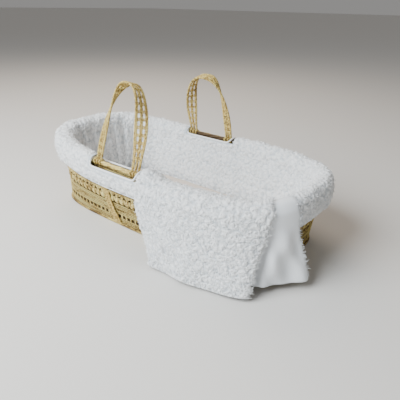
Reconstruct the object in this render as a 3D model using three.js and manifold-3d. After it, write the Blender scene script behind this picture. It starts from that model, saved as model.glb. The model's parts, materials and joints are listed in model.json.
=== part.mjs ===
// Moses basket: a woven straw basket with a padded plush liner, two plaited carrying handles,
// a mattress with its fitted sheet, and a folded blanket hung over the rim.
// Millimetres, +Z up. +X is the foot end, -Y the side with the blanket, and the origin is the
// centre of the underside of the base.

import * as THREE from 'three';
import * as BufferGeometryUtils from 'three/addons/utils/BufferGeometryUtils.js';
import Module from 'manifold-3d';

const wasm = await Module();
wasm.setup();

// ---------------------------------------------------------------- driving dimensions

const STATIONS = 56;
const GAP = 0.3;

const BASE = { halfLength: 395, halfWidth: 175, power: 5, centreX: 0 };
const RIM = { halfLength: 420, halfWidth: 210, power: 3.2, centreX: 12 };
const RIM_MID_Z = 193;
const RIM_HEAD_RISE = 27;
const RIM_FOOT_DROP = 4;
const RIM_RISE_POWER = 2.6;

const BASE_MAT_THICKNESS = 6;
const FOOT_BRAID_HEIGHT = 9;
const WALL_THICKNESS = 6;
const LEAF_BAND_LOW = 0.40;
const LEAF_BAND_HIGH = 0.68;
const ROLL_RADIUS = 7;

const TAIL_WIDTH = 22;
const TAIL_THICKNESS = 3;
const TAIL_DRIFT = 14;

const LINER_FLOOR_THICKNESS = 2;
const LINER_TOP = 24;
const HEM_DROP = 54;
const ELASTIC_RADIUS = 2;
const BINDING_RADIUS = 2.2;
const SLOT_OUTER_DROP = 12;
const SLOT_INNER_RISE = 2.5;
const SLOT_INNER_REACH = 22;
const SLOT_END_MARGIN = 30;

const HANDLE_X = -43;
const FOOT_SPREAD = 73.5;
const CORD_RADIUS = 5.2;
const CORD_PITCH = 14;
const LASHING_INNER = 9;
const LASHING_OUTER = 13;
const LASHING_WIDTH = 42;
const FRONT_HANDLE = { height: 219, lean: 17, power: 2.3 };
const REAR_HANDLE = { height: 205, lean: 12, power: 2.7 };

const MATTRESS = { halfLength: 356, halfWidth: 143, power: 4, centreX: 2 };
const MATTRESS_LOW = 11;
const MATTRESS_HIGH = 50;
const SHEET_THICKNESS = 1.6;
const SHEET_TURN_UNDER = 40;

const BLANKET_LEFT_TOP = 62;
const BLANKET_LEFT_FLOOR = 138;
const BLANKET_FRONT_TOP = 404;
const BLANKET_FRONT_FLOOR = 345;
const BLANKET_BACK_TOP = 454;
const BLANKET_BACK_FLOOR = 464;
const BLANKET_FLOOR_Z = 4;
const BLANKET_BACK_FLOOR_Z = 18;
const BLANKET_INNER_Z = 130;
const BLANKET_FOLD_LIFT = 6.6;
const PLUSH_THICKNESS = 3;
const SATIN_THICKNESS = 1;

// ---------------------------------------------------------------- materials

const material = (color, roughness) => new THREE.MeshStandardMaterial({ color, roughness, metalness: 0 });
const straw = material(0xc8b478, 0.75);
const strawDark = material(0xb39c5c, 0.8);
const plush = material(0xf1f2f4, 0.95);
const binding = material(0xf7f7f7, 0.6);
const sheetCotton = material(0xd6c6b6, 0.85);
const foam = material(0xeeeade, 0.9);
const satin = material(0xf0f2f5, 0.4);

const basket = new THREE.Group();

function addPiece(name, geometry, surface) {
  const mesh = new THREE.Mesh(geometry, surface);
  mesh.name = name;
  basket.add(mesh);
}

// ---------------------------------------------------------------- meshes and booleans

function signedVolume(points, triangles) {
  let sum = 0;
  for (const [a, b, c] of triangles) {
    sum += points[a].dot(new THREE.Vector3().crossVectors(points[b], points[c]));
  }
  return sum;
}

// Splits a quad along its shorter diagonal, so that skins which lie close together split alike.
function splitQuad(points, [a, b, c, d]) {
  const straight = points[a].distanceTo(points[c]) <= points[b].distanceTo(points[d]);
  return straight ? [[a, b, c], [a, c, d]] : [[a, b, d], [b, c, d]];
}

// The triangles that close a strip-like section, whose points go out along one side and come
// back along the other.
function stripTriangles(side) {
  const triangles = [];
  for (let i = 0; i < side / 2 - 1; i += 1) {
    const back = side - 1 - i;
    triangles.push([i, i + 1, back - 1], [i, back - 1, back]);
  }
  return triangles;
}

// Joins rings of equal length into one closed skin. The rings either come back round to the
// first one or are closed by a cap at each end: a plane outline, where `flat` gives it, or else
// the strip between the two sides of the section.
function loft(rings, { looped = false, flat = null } = {}) {
  const side = rings[0].length;
  const points = rings.flat();
  const triangles = [];
  const spans = looped ? rings.length : rings.length - 1;
  for (let r = 0; r < spans; r += 1) {
    const here = r * side;
    const next = ((r + 1) % rings.length) * side;
    for (let i = 0; i < side; i += 1) {
      const j = (i + 1) % side;
      const quad = [here + i, here + j, next + j, next + i];
      triangles.push(...splitQuad(points, quad));
    }
  }
  if (!looped) {
    const last = (rings.length - 1) * side;
    const caps = flat ? THREE.ShapeUtils.triangulateShape(flat, []) : stripTriangles(side);
    const turned = flat !== null && THREE.ShapeUtils.isClockWise(flat);
    for (const [a, b, c] of caps) {
      triangles.push(turned ? [a, b, c] : [a, c, b]);
      triangles.push((turned ? [a, c, b] : [a, b, c]).map((v) => v + last));
    }
  }
  const outward = signedVolume(points, triangles) > 0;
  const geometry = new THREE.BufferGeometry().setFromPoints(points);
  geometry.setIndex(triangles.flatMap(([a, b, c]) => (outward ? [a, b, c] : [a, c, b])));
  return geometry;
}

function toSolid(geometry) {
  const bare = geometry.clone();
  bare.deleteAttribute('normal');
  bare.deleteAttribute('uv');
  const merged = BufferGeometryUtils.mergeVertices(bare, 1e-3);
  return new wasm.Manifold(new wasm.Mesh({
    numProp: 3,
    vertProperties: new Float32Array(merged.attributes.position.array),
    triVerts: new Uint32Array(merged.index.array),
  }));
}

function toGeometry(solid) {
  const { vertProperties, triVerts } = solid.getMesh();
  const geometry = new THREE.BufferGeometry();
  geometry.setAttribute('position', new THREE.BufferAttribute(new Float32Array(vertProperties), 3));
  geometry.setIndex(new THREE.BufferAttribute(new Uint32Array(triVerts), 1));
  return geometry;
}

function cut(geometry, cutters) {
  let solid = toSolid(geometry);
  for (const cutter of cutters) {
    solid = solid.subtract(toSolid(cutter));
  }
  return toGeometry(solid);
}

// ---------------------------------------------------------------- outlines and the wall

const stationAngle = (station) => (station / STATIONS) * Math.PI * 2;

// A point of a rounded-rectangle outline, at an angle that runs from +X through +Y.
function outlinePoint(outline, angle) {
  const c = Math.cos(angle);
  const s = Math.sin(angle);
  const reach = (Math.abs(c) ** outline.power + Math.abs(s) ** outline.power) ** (-1 / outline.power);
  return new THREE.Vector2(
    outline.centreX + outline.halfLength * reach * c,
    outline.halfWidth * reach * s,
  );
}

function outlineNormal(outline, angle) {
  const step = 1e-3;
  const along = outlinePoint(outline, angle + step).sub(outlinePoint(outline, angle - step));
  return new THREE.Vector2(along.y, -along.x).normalize();
}

function offsetPoint(outline, angle, out) {
  return outlinePoint(outline, angle).addScaledVector(outlineNormal(outline, angle), out);
}

// The rim is highest at the head end and falls slightly towards the foot.
function rimHeight(x) {
  const along = (x - RIM.centreX) / RIM.halfLength;
  return RIM_MID_Z + (along < 0 ? RIM_HEAD_RISE : -RIM_FOOT_DROP) * Math.abs(along) ** RIM_RISE_POWER;
}

// A point at a fraction of the wall's height, moved out from the middle of the wall's thickness.
function wallPoint(angle, fraction, out) {
  const low = outlinePoint(BASE, angle);
  const high = outlinePoint(RIM, angle);
  const normal = outlineNormal(RIM, angle);
  const plan = low.lerp(high, fraction).addScaledVector(normal, out);
  return new THREE.Vector3(plan.x, plan.y, fraction * rimHeight(high.x));
}

// A point at an absolute height, moved out from the wall in the same way.
function wallPointAt(angle, z, out) {
  const top = rimHeight(outlinePoint(RIM, angle).x);
  const point = wallPoint(angle, Math.min(z / top, 1), out);
  point.z = z;
  return point;
}

// A point placed from the rim: out from its outline and up from its edge.
function rimPoint(angle, out, up) {
  const plan = offsetPoint(RIM, angle, out);
  return new THREE.Vector3(plan.x, plan.y, rimHeight(outlinePoint(RIM, angle).x) + up);
}

function ringOf(section) {
  return loft(
    Array.from({ length: STATIONS }, (_, station) => section(stationAngle(station))),
    { looped: true },
  );
}

function roundSection(centre, radius, sides, outward, upward) {
  return Array.from({ length: sides }, (_, i) => {
    const turn = (i / sides) * Math.PI * 2;
    return centre.clone()
      .addScaledVector(outward, radius * Math.cos(turn))
      .addScaledVector(upward, radius * Math.sin(turn));
  });
}

function flatPlate(outline, inset, low, high) {
  const plan = Array.from({ length: STATIONS }, (_, i) => offsetPoint(outline, stationAngle(i), -inset));
  const ring = (z) => plan.map((p) => new THREE.Vector3(p.x, p.y, z));
  return loft([ring(low), ring(high)], { flat: plan });
}

// ---------------------------------------------------------------- straw basket

const UP = new THREE.Vector3(0, 0, 1);
const HALF_WALL = WALL_THICKNESS / 2;
const WALL_TOP_GAP = GAP / RIM_MID_Z;

const baseMat = () => flatPlate(BASE, HALF_WALL + 1, 0, BASE_MAT_THICKNESS);

// The plaited edge that the base mat is sewn to; it is the basket's foot.
const footBraid = () => ringOf((angle) => [
  wallPointAt(angle, 0, -HALF_WALL - 1 + GAP),
  wallPointAt(angle, 0, HALF_WALL + 1),
  wallPointAt(angle, FOOT_BRAID_HEIGHT / 2, HALF_WALL + 2.5),
  wallPointAt(angle, FOOT_BRAID_HEIGHT, HALF_WALL),
  wallPointAt(angle, FOOT_BRAID_HEIGHT, -HALF_WALL - 1 + GAP),
]);

// One woven band of the wall between two fractions of its height.
const wovenBand = (low, high) => ringOf((angle) => [
  wallPoint(angle, low, -HALF_WALL),
  wallPoint(angle, low, HALF_WALL),
  wallPoint(angle, high - WALL_TOP_GAP, HALF_WALL),
  wallPoint(angle, high - WALL_TOP_GAP, -HALF_WALL),
]);

const rimRoll = () => ringOf((angle) => {
  const n = outlineNormal(RIM, angle);
  return roundSection(rimPoint(angle, 0, ROLL_RADIUS), ROLL_RADIUS, 8, new THREE.Vector3(n.x, n.y, 0), UP);
});

// The angle of the rim's outline at a place along the basket, on the front or the rear side.
function rimAngleAt(x, side) {
  let low = 0.05;
  let high = Math.PI - 0.05;
  for (let i = 0; i < 40; i += 1) {
    const middle = (low + high) / 2;
    if (outlinePoint(RIM, middle).x > x) low = middle;
    else high = middle;
  }
  return side * low;
}

const FRONT = -1;
const REAR = 1;
const footPlaces = (side) => [
  { x: HANDLE_X - FOOT_SPREAD, label: side === FRONT ? 'left' : 'right', side },
  { x: HANDLE_X + FOOT_SPREAD, label: side === FRONT ? 'right' : 'left', side },
];
const rollCentre = (x, side) => {
  const angle = rimAngleAt(x, side);
  return new THREE.Vector3(x, outlinePoint(RIM, angle).y, rimHeight(x) + ROLL_RADIUS);
};

// The middle of a handle's hinge line, which runs from one foot's roll centre to the other's.
const hingeMiddle = (side) => rollCentre(HANDLE_X - FOOT_SPREAD, side)
  .add(rollCentre(HANDLE_X + FOOT_SPREAD, side))
  .multiplyScalar(0.5);

function cylinderAlongX(centre, radius, length, sides) {
  const geometry = new THREE.CylinderGeometry(radius, radius, length, sides);
  geometry.rotateZ(Math.PI / 2);
  geometry.translate(centre.x, centre.y, centre.z);
  return geometry;
}

// The upper weave has a window under the rim roll at each handle foot, where the lashing passes.
const upperWeave = () => cut(
  wovenBand(LEAF_BAND_HIGH, 1),
  [FRONT, REAR].flatMap(footPlaces).map(({ x, side }) => (
    cylinderAlongX(rollCentre(x, side), LASHING_OUTER + 0.8, LASHING_WIDTH + 3, 24)
  )),
);

// The end of a handle's plait, carried down the outside of the wall and sewn to it.
function strapTail({ x, side }) {
  const rings = [0.05, 0.2, 0.4, 0.6, 0.75, 0.88].map((fraction) => {
    const drift = TAIL_DRIFT * (1 - fraction) * (side === FRONT ? 1 : -1);
    const left = rimAngleAt(x + drift - TAIL_WIDTH / 2, side);
    const right = rimAngleAt(x + drift + TAIL_WIDTH / 2, side);
    const near = HALF_WALL + GAP + 0.4;
    return [
      wallPoint(left, fraction, near),
      wallPoint(right, fraction, near),
      wallPoint(right, fraction, near + TAIL_THICKNESS),
      wallPoint(left, fraction, near + TAIL_THICKNESS),
    ];
  });
  return loft(rings);
}

// ---------------------------------------------------------------- plush liner

const LINER_FLOOR_Z = BASE_MAT_THICKNESS + GAP;
const LINER_WALL_LOW = LINER_FLOOR_Z + LINER_FLOOR_THICKNESS + GAP;

const linerFloor = () => flatPlate(BASE, HALF_WALL + 2, LINER_FLOOR_Z, LINER_FLOOR_Z + LINER_FLOOR_THICKNESS);

// The padded inside of the liner: it stands on the liner floor, leans against the wall and
// turns over the top of the rim roll, where it is sewn to the skirt.
const linerWallRing = () => ringOf((angle) => [
  wallPointAt(angle, LINER_WALL_LOW, -HALF_WALL - 2.5),
  wallPoint(angle, LEAF_BAND_LOW, -HALF_WALL - 2.5),
  wallPoint(angle, LEAF_BAND_HIGH, -HALF_WALL - 2.5),
  wallPoint(angle, 0.955, -HALF_WALL - 2),
  rimPoint(angle, -ROLL_RADIUS - 1.6, 3),
  rimPoint(angle, -ROLL_RADIUS - 1.2, 12),
  rimPoint(angle, -0.2, 2 * ROLL_RADIUS + 2.2),
  rimPoint(angle, -0.2, LINER_TOP),
  rimPoint(angle, -10, LINER_TOP - 2),
  rimPoint(angle, -20, LINER_TOP - 9),
  rimPoint(angle, -26, 2),
  wallPointAt(angle, 133, -31),
  wallPointAt(angle, 50, -35),
  wallPointAt(angle, LINER_WALL_LOW, -28),
]);

// The outer skirt, from the top seam down the outside to its elastic hem.
const linerSkirtRing = () => ringOf((angle) => [
  rimPoint(angle, 0.2, 2 * ROLL_RADIUS + 2.2),
  rimPoint(angle, ROLL_RADIUS + 1.4, 12),
  rimPoint(angle, ROLL_RADIUS + 1.6, 0),
  rimPoint(angle, ROLL_RADIUS, -HEM_DROP),
  rimPoint(angle, ROLL_RADIUS + 6, -HEM_DROP - 2),
  rimPoint(angle, 20, -HEM_DROP + 9),
  rimPoint(angle, 23, -25),
  rimPoint(angle, 23, -5),
  rimPoint(angle, 18, 12),
  rimPoint(angle, 9, LINER_TOP - 3),
  rimPoint(angle, 0.2, LINER_TOP),
]);

// The space that a handle needs: open above the rim roll, and a clear channel round the roll.
function slotCutters(side) {
  const left = HANDLE_X - FOOT_SPREAD - SLOT_END_MARGIN;
  const right = HANDLE_X + FOOT_SPREAD + SLOT_END_MARGIN;
  const centre = hingeMiddle(side);
  const section = [
    [80, -SLOT_OUTER_DROP],
    [80, 90],
    [-70, 90],
    [-70, 40],
    [-SLOT_INNER_REACH, SLOT_INNER_RISE],
    [0, SLOT_INNER_RISE],
    [0, -SLOT_OUTER_DROP],
  ];
  const rings = [left, right].map((x) => section.map(([out, up]) => (
    new THREE.Vector3(x, centre.y + side * out, centre.z + up)
  )));
  const flat = section.map(([out, up]) => new THREE.Vector2(out, up));
  const channel = cylinderAlongX(
    new THREE.Vector3((left + right) / 2, centre.y, centre.z + 1),
    LASHING_OUTER + 3,
    right - left,
    20,
  );
  return [loft(rings, { flat }), channel];
}

// The bias binding sewn round a handle slot: along both long sides and over the rim at each end.
function slotBinding(side) {
  const halfSpan = FOOT_SPREAD + SLOT_END_MARGIN - BINDING_RADIUS - 2 * GAP;
  const centre = hingeMiddle(side);
  const corner = (x, out, up) => new THREE.Vector3(x, centre.y + side * out, centre.z + up);
  const outer = { out: 17.5, up: -SLOT_OUTER_DROP + BINDING_RADIUS + 3 * GAP };
  const inner = { out: -SLOT_INNER_REACH + 1.5, up: SLOT_INNER_RISE + BINDING_RADIUS + GAP };
  const points = [];
  for (let i = -4; i <= 4; i += 1) {
    points.push(corner(HANDLE_X + (i / 4) * (halfSpan - 8), outer.out, outer.up));
  }
  points.push(corner(HANDLE_X + halfSpan, 13, 5));
  points.push(corner(HANDLE_X + halfSpan, 0, ROLL_RADIUS + 4.5));
  points.push(corner(HANDLE_X + halfSpan, -12, 9));
  for (let i = 4; i >= -4; i -= 1) {
    points.push(corner(HANDLE_X + (i / 4) * (halfSpan - 8), inner.out, inner.up));
  }
  points.push(corner(HANDLE_X - halfSpan, -12, 9));
  points.push(corner(HANDLE_X - halfSpan, 0, ROLL_RADIUS + 4.5));
  points.push(corner(HANDLE_X - halfSpan, 13, 5));
  const route = new THREE.CatmullRomCurve3(points, true, 'catmullrom', 0.5);
  return roundLoop(route, BINDING_RADIUS, 44, 5);
}

function roundLoop(route, radius, steps, sides) {
  const frames = route.computeFrenetFrames(steps, true);
  const rings = [];
  for (let i = 0; i < steps; i += 1) {
    const centre = route.getPointAt(i / steps);
    rings.push(roundSection(centre, radius, sides, frames.normals[i], frames.binormals[i]));
  }
  return loft(rings, { looped: true });
}

const skirtElastic = () => ringOf((angle) => {
  const n = outlineNormal(RIM, angle);
  const centre = rimPoint(angle, ROLL_RADIUS + 3.5, -HEM_DROP - 4.6);
  return roundSection(centre, ELASTIC_RADIUS, 4, new THREE.Vector3(n.x, n.y, 0), UP);
});

// ---------------------------------------------------------------- plaited handles

// The middle line of a handle's band, in the arch's own plane: x across, y up from the roll.
function archPoint(handle, t) {
  const angle = Math.PI * (1 - t);
  const c = Math.cos(angle);
  const s = Math.sin(angle);
  const reach = (Math.abs(c) ** handle.power + Math.abs(s) ** handle.power) ** (-1 / handle.power);
  const start = LASHING_OUTER + 1.4;
  return new THREE.Vector2(FOOT_SPREAD * reach * c, start + (handle.height - start) * reach * s);
}

// The band lies flat along the rim at its feet and turns until it is flat to the palm on top.
class CordRoute extends THREE.Curve {
  constructor(handle, shift) {
    super();
    this.handle = handle;
    this.shift = shift;
  }

  getPoint(t) {
    const step = 1e-3;
    const here = archPoint(this.handle, t);
    const along = archPoint(this.handle, Math.min(t + step, 1))
      .sub(archPoint(this.handle, Math.max(t - step, 0)))
      .normalize();
    const rise = Math.min(1, Math.sin(Math.PI * t) * 1.05);
    const twist = (Math.PI / 2) * THREE.MathUtils.smoothstep(rise, 0.05, 1);
    const inPlane = new THREE.Vector2(along.y, -along.x).multiplyScalar(Math.cos(twist) * this.shift);
    return new THREE.Vector3(here.x + inPlane.x, -Math.sin(twist) * this.shift, here.y + inPlane.y);
  }
}

function handleGroup(handle, side) {
  const group = new THREE.Group();
  group.position.copy(hingeMiddle(side));
  group.rotation.order = 'ZXY';
  group.rotation.z = side === FRONT ? 0 : Math.PI;
  group.rotation.x = -THREE.MathUtils.degToRad(handle.lean);
  return group;
}

function addHandle(prefix, handle, side) {
  const group = handleGroup(handle, side);
  ['outer', 'middle', 'inner'].forEach((label, i) => {
    const route = new CordRoute(handle, (i - 1) * CORD_PITCH);
    const section = new THREE.Shape();
    section.absarc(0, 0, CORD_RADIUS, 0, Math.PI * 2);
    const geometry = new THREE.ExtrudeGeometry(section, { steps: 30, extrudePath: route, curveSegments: 4 });
    const cord = new THREE.Mesh(geometry, straw);
    cord.name = `${prefix}_handle_cord_${label}`;
    group.add(cord);
  });
  basket.add(group);
  for (const foot of footPlaces(side)) {
    addPiece(`${prefix}_handle_lashing_${foot.label}`, lashing(foot), strawDark);
    addPiece(`${prefix}_strap_tail_${foot.label}`, strapTail(foot), strawDark);
  }
}

// The straw lashing that wraps the rim roll and holds a foot of the handle; it turns on the roll.
function lashing({ x, side }) {
  const centre = rollCentre(x, side);
  const half = LASHING_WIDTH / 2;
  const profile = [
    [LASHING_INNER, -half],
    [LASHING_OUTER, -half],
    [LASHING_OUTER, half],
    [LASHING_INNER, half],
    [LASHING_INNER, -half],
  ].map(([r, along]) => new THREE.Vector2(r, along));
  const geometry = new THREE.LatheGeometry(profile, 20);
  geometry.rotateZ(Math.PI / 2);
  geometry.translate(centre.x, centre.y, centre.z);
  return geometry;
}

// ---------------------------------------------------------------- mattress

const mattressCore = () => flatPlate(MATTRESS, 0, MATTRESS_LOW, MATTRESS_HIGH);

// The fitted sheet covers the top and sides and turns in underneath, with an open middle.
function mattressSheet() {
  const outside = flatPlate(
    MATTRESS,
    -SHEET_THICKNESS - GAP,
    MATTRESS_LOW - SHEET_THICKNESS - GAP,
    MATTRESS_HIGH + SHEET_THICKNESS + GAP,
  );
  const inside = flatPlate(MATTRESS, -GAP, MATTRESS_LOW - GAP, MATTRESS_HIGH + GAP);
  const underside = flatPlate(MATTRESS, SHEET_TURN_UNDER, 0, MATTRESS_LOW);
  return cut(outside, [inside, underside]);
}

// ---------------------------------------------------------------- blanket

// Distance along the rim's outline, measured from the middle of the front towards the foot end.
const FRONT_MIDDLE = -Math.PI / 2;
const WALK_STEPS = 800;
const walk = [{ length: 0, angle: FRONT_MIDDLE }];
for (let i = 1; i <= WALK_STEPS; i += 1) {
  const angle = FRONT_MIDDLE + (i / WALK_STEPS) * Math.PI * 0.75;
  const before = walk[i - 1];
  const step = outlinePoint(RIM, angle).distanceTo(outlinePoint(RIM, before.angle));
  walk.push({ length: before.length + step, angle });
}

function rimAngleAlong(length) {
  const next = walk.findIndex((mark) => mark.length >= length);
  const a = walk[Math.max(next - 1, 0)];
  const b = walk[Math.max(next, 1)];
  return THREE.MathUtils.mapLinear(length, a.length, b.length, a.angle, b.angle);
}

// The way a blanket edge runs: up the inside of the liner, over it, and down to the floor.
function drapeProfile(length) {
  const angle = rimAngleAlong(length);
  const top = rimHeight(outlinePoint(RIM, angle).x);
  const spread = THREE.MathUtils.mapLinear(
    THREE.MathUtils.smoothstep(length, BLANKET_LEFT_TOP, BLANKET_FRONT_TOP), 0, 1, 66, 84,
  );
  const past = THREE.MathUtils.smoothstep(length, BLANKET_FRONT_FLOOR - 10, BLANKET_FRONT_TOP + 20);
  const floorSpread = spread - 36 * past;
  const floor = THREE.MathUtils.lerp(BLANKET_FLOOR_Z, BLANKET_BACK_FLOOR_Z, past);
  const overRim = [
    [-47, BLANKET_INNER_Z - top],
    [-41, -38],
    [-33.5, -12],
    [-28.5, 6],
    [-22, 17],
    [-12, 24],
    [0, 26.5],
    [11, 24],
    [20, 15],
    [24.8, 4],
    [26, -8],
  ].map(([out, up]) => ({ out, z: top + up }));
  const shoulder = top - 8;
  const hanging = [0.8, 0.6, 0.4, 0.2, 0].map((k) => ({
    out: THREE.MathUtils.lerp(floorSpread, 26, k),
    z: THREE.MathUtils.lerp(floor, shoulder, k),
  }));
  return [...overRim, ...hanging];
}

const DRAPE_ROWS = drapeProfile(BLANKET_LEFT_TOP).length;

function drapePoint(length, row, lift) {
  const profile = drapeProfile(length);
  const angle = rimAngleAlong(length);
  const before = profile[Math.max(row - 1, 0)];
  const after = profile[Math.min(row + 1, DRAPE_ROWS - 1)];
  const along = new THREE.Vector2(after.out - before.out, after.z - before.z).normalize();
  const here = profile[row];
  const plan = offsetPoint(RIM, angle, here.out - along.y * lift);
  return new THREE.Vector3(plan.x, plan.y, here.z + along.x * lift);
}

const leftEdge = (row) => THREE.MathUtils.lerp(
  BLANKET_LEFT_TOP, BLANKET_LEFT_FLOOR, THREE.MathUtils.smoothstep(row, 9, DRAPE_ROWS - 1),
);
const frontEdge = (row) => THREE.MathUtils.lerp(
  BLANKET_FRONT_TOP, BLANKET_FRONT_FLOOR, THREE.MathUtils.smoothstep(row, 4, DRAPE_ROWS - 1),
);
const backEdge = (row) => THREE.MathUtils.lerp(
  BLANKET_BACK_TOP, BLANKET_BACK_FLOOR, THREE.MathUtils.smoothstep(row, 9, DRAPE_ROWS - 1),
);

const RUN_SPANS = 8;

// A layer of the folded blanket: the front half, the turn at the fold and the back half. The
// layer nearer the middle of the fold has the smaller turn.
function foldedLayer(outerTurn, thickness) {
  const run = (row, turn) => {
    const left = leftEdge(row);
    const front = frontEdge(row);
    const back = backEdge(row);
    const path = [];
    for (let i = 0; i <= RUN_SPANS; i += 1) {
      path.push([THREE.MathUtils.lerp(front, left, i / RUN_SPANS), BLANKET_FOLD_LIFT + turn]);
    }
    for (let i = 1; i < 4; i += 1) {
      const angle = (i / 4) * Math.PI;
      path.push([left - turn * Math.sin(angle), BLANKET_FOLD_LIFT + turn * Math.cos(angle)]);
    }
    for (let i = 0; i <= RUN_SPANS; i += 1) {
      path.push([THREE.MathUtils.lerp(left, front, i / RUN_SPANS), BLANKET_FOLD_LIFT - turn]);
    }
    path.push([(front + back) / 2, BLANKET_FOLD_LIFT - turn], [back, BLANKET_FOLD_LIFT - turn]);
    return path;
  };
  const section = (row) => [...run(row, outerTurn), ...run(row, outerTurn - thickness).reverse()];
  const rings = [];
  for (let row = 0; row < DRAPE_ROWS; row += 1) {
    rings.push(section(row).map(([length, lift]) => drapePoint(length, row, lift)));
  }
  return loft(rings);
}

const SATIN_TURN = 2.2;
const PLUSH_TURN = SATIN_TURN + 2 * GAP + PLUSH_THICKNESS;

// ---------------------------------------------------------------- assembly

addPiece('base_mat', baseMat(), straw);
addPiece('foot_braid', footBraid(), strawDark);
addPiece('lower_weave', wovenBand((FOOT_BRAID_HEIGHT + 0.5) / RIM_MID_Z, LEAF_BAND_LOW), straw);
addPiece('leaf_band', wovenBand(LEAF_BAND_LOW, LEAF_BAND_HIGH), straw);
addPiece('upper_weave', upperWeave(), straw);
addPiece('rim_roll', rimRoll(), straw);

addPiece('liner_floor', linerFloor(), plush);
const slots = [...slotCutters(FRONT), ...slotCutters(REAR)];
addPiece('liner_wall', cut(linerWallRing(), slots), plush);
addPiece('liner_skirt', cut(linerSkirtRing(), slots), plush);
addPiece('skirt_elastic', skirtElastic(), binding);
addPiece('front_slot_binding', slotBinding(FRONT), binding);
addPiece('rear_slot_binding', slotBinding(REAR), binding);

addHandle('front', FRONT_HANDLE, FRONT);
addHandle('rear', REAR_HANDLE, REAR);

addPiece('mattress_core', mattressCore(), foam);
addPiece('mattress_sheet', mattressSheet(), sheetCotton);

addPiece('blanket_plush', foldedLayer(PLUSH_TURN, PLUSH_THICKNESS), plush);
addPiece('blanket_satin', foldedLayer(SATIN_TURN, SATIN_THICKNESS), satin);

export default basket;
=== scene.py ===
import json
import math
from types import SimpleNamespace

import bpy
import numpy as np
from mathutils import Matrix, Vector


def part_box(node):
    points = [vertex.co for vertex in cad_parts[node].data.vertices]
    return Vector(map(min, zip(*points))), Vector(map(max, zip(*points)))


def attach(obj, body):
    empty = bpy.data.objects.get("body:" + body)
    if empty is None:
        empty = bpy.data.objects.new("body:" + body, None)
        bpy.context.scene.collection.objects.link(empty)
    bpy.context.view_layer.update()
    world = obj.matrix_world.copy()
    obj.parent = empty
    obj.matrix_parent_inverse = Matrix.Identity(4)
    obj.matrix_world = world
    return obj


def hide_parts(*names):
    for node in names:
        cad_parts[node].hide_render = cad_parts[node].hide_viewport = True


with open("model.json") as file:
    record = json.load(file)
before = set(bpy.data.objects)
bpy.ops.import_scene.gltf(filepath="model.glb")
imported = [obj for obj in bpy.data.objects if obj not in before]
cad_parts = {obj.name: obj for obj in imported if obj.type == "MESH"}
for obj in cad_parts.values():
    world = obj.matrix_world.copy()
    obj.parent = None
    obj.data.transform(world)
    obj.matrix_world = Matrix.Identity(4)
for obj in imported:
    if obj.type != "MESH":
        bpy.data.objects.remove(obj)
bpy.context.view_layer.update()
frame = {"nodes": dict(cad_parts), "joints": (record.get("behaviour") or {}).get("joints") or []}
bpy.ops.object.select_all(action="DESELECT")


# ---------------------------------------------------------------- room, lights and camera
# A pale seamless studio floor, one broad soft light from the front left and a weaker fill,
# so that the basket throws a soft shade behind it and to its right.
FLOOR_SIZE = 80.0
CAMERA_PLACE = (0.8197, -0.9189, 0.6078)
CAMERA_AZIMUTH = math.radians(38.78)
CAMERA_ELEVATION = math.radians(24.53)
CAMERA_ROLL = 0.0187
CAMERA_LENS = 38.7

camera_data = bpy.data.cameras.new("camera")
camera_data.lens = CAMERA_LENS
camera = bpy.data.objects.new("camera", camera_data)
bpy.context.scene.collection.objects.link(camera)
camera.matrix_world = (
    Matrix.Translation(CAMERA_PLACE)
    @ Matrix.Rotation(CAMERA_AZIMUTH, 4, "Z")
    @ Matrix.Rotation(math.pi / 2 - CAMERA_ELEVATION, 4, "X")
    @ Matrix.Rotation(CAMERA_ROLL, 4, "Z")
)
bpy.context.scene.camera = camera


def plain_material(name, color, roughness):
    material = bpy.data.materials.new(name)
    material.use_nodes = True
    shader = material.node_tree.nodes["Principled BSDF"]
    shader.inputs["Base Color"].default_value = (*color, 1)
    shader.inputs["Roughness"].default_value = roughness
    return material


bpy.ops.mesh.primitive_plane_add(size=FLOOR_SIZE)
floor = bpy.context.object
floor.name = "studio_floor"
floor.data.materials.append(plain_material("studio_floor", (0.74, 0.72, 0.69), 0.75))


def soft_light(name, place, aim, size, power, color):
    lamp = bpy.data.lights.new(name, "AREA")
    lamp.shape = "DISK"
    lamp.size = size
    lamp.energy = power
    lamp.color = color
    holder = bpy.data.objects.new(name, lamp)
    holder.location = place
    holder.rotation_euler = (Vector(aim) - Vector(place)).to_track_quat("-Z", "Y").to_euler()
    bpy.context.scene.collection.objects.link(holder)


soft_light(
    "window", place=(-0.65, -2.1, 1.9), aim=(0.05, -0.5, 0), size=2.3, power=182,
    color=(0.92, 0.97, 1.0),
)
soft_light(
    "ceiling", place=(-1.7, 1.2, 2.4), aim=(-0.7, 0.2, 0), size=2.0, power=36,
    color=(1.0, 0.80, 0.60),
)

world = bpy.data.worlds.new("studio")
world.use_nodes = True
sky = world.node_tree.nodes["Background"]
sky.inputs["Color"].default_value = (0.88, 0.865, 0.845, 1)
sky.inputs["Strength"].default_value = 0.32
bpy.context.scene.world = world


# ---------------------------------------------------------------- the basket's outlines
# Two outlines give the whole basket: the long flat base with rounded corners, and the wider
# oval rim over it, which climbs towards the head end. Everything else is placed from them.
STATIONS = 1440
ROLL_RADIUS = 0.007
BASE_POWER = 5
RIM_POWER = 3.2
RISE_POWER = 2.6
WALL_INSET = 0.004
ROLL_GAP = 0.0006

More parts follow.
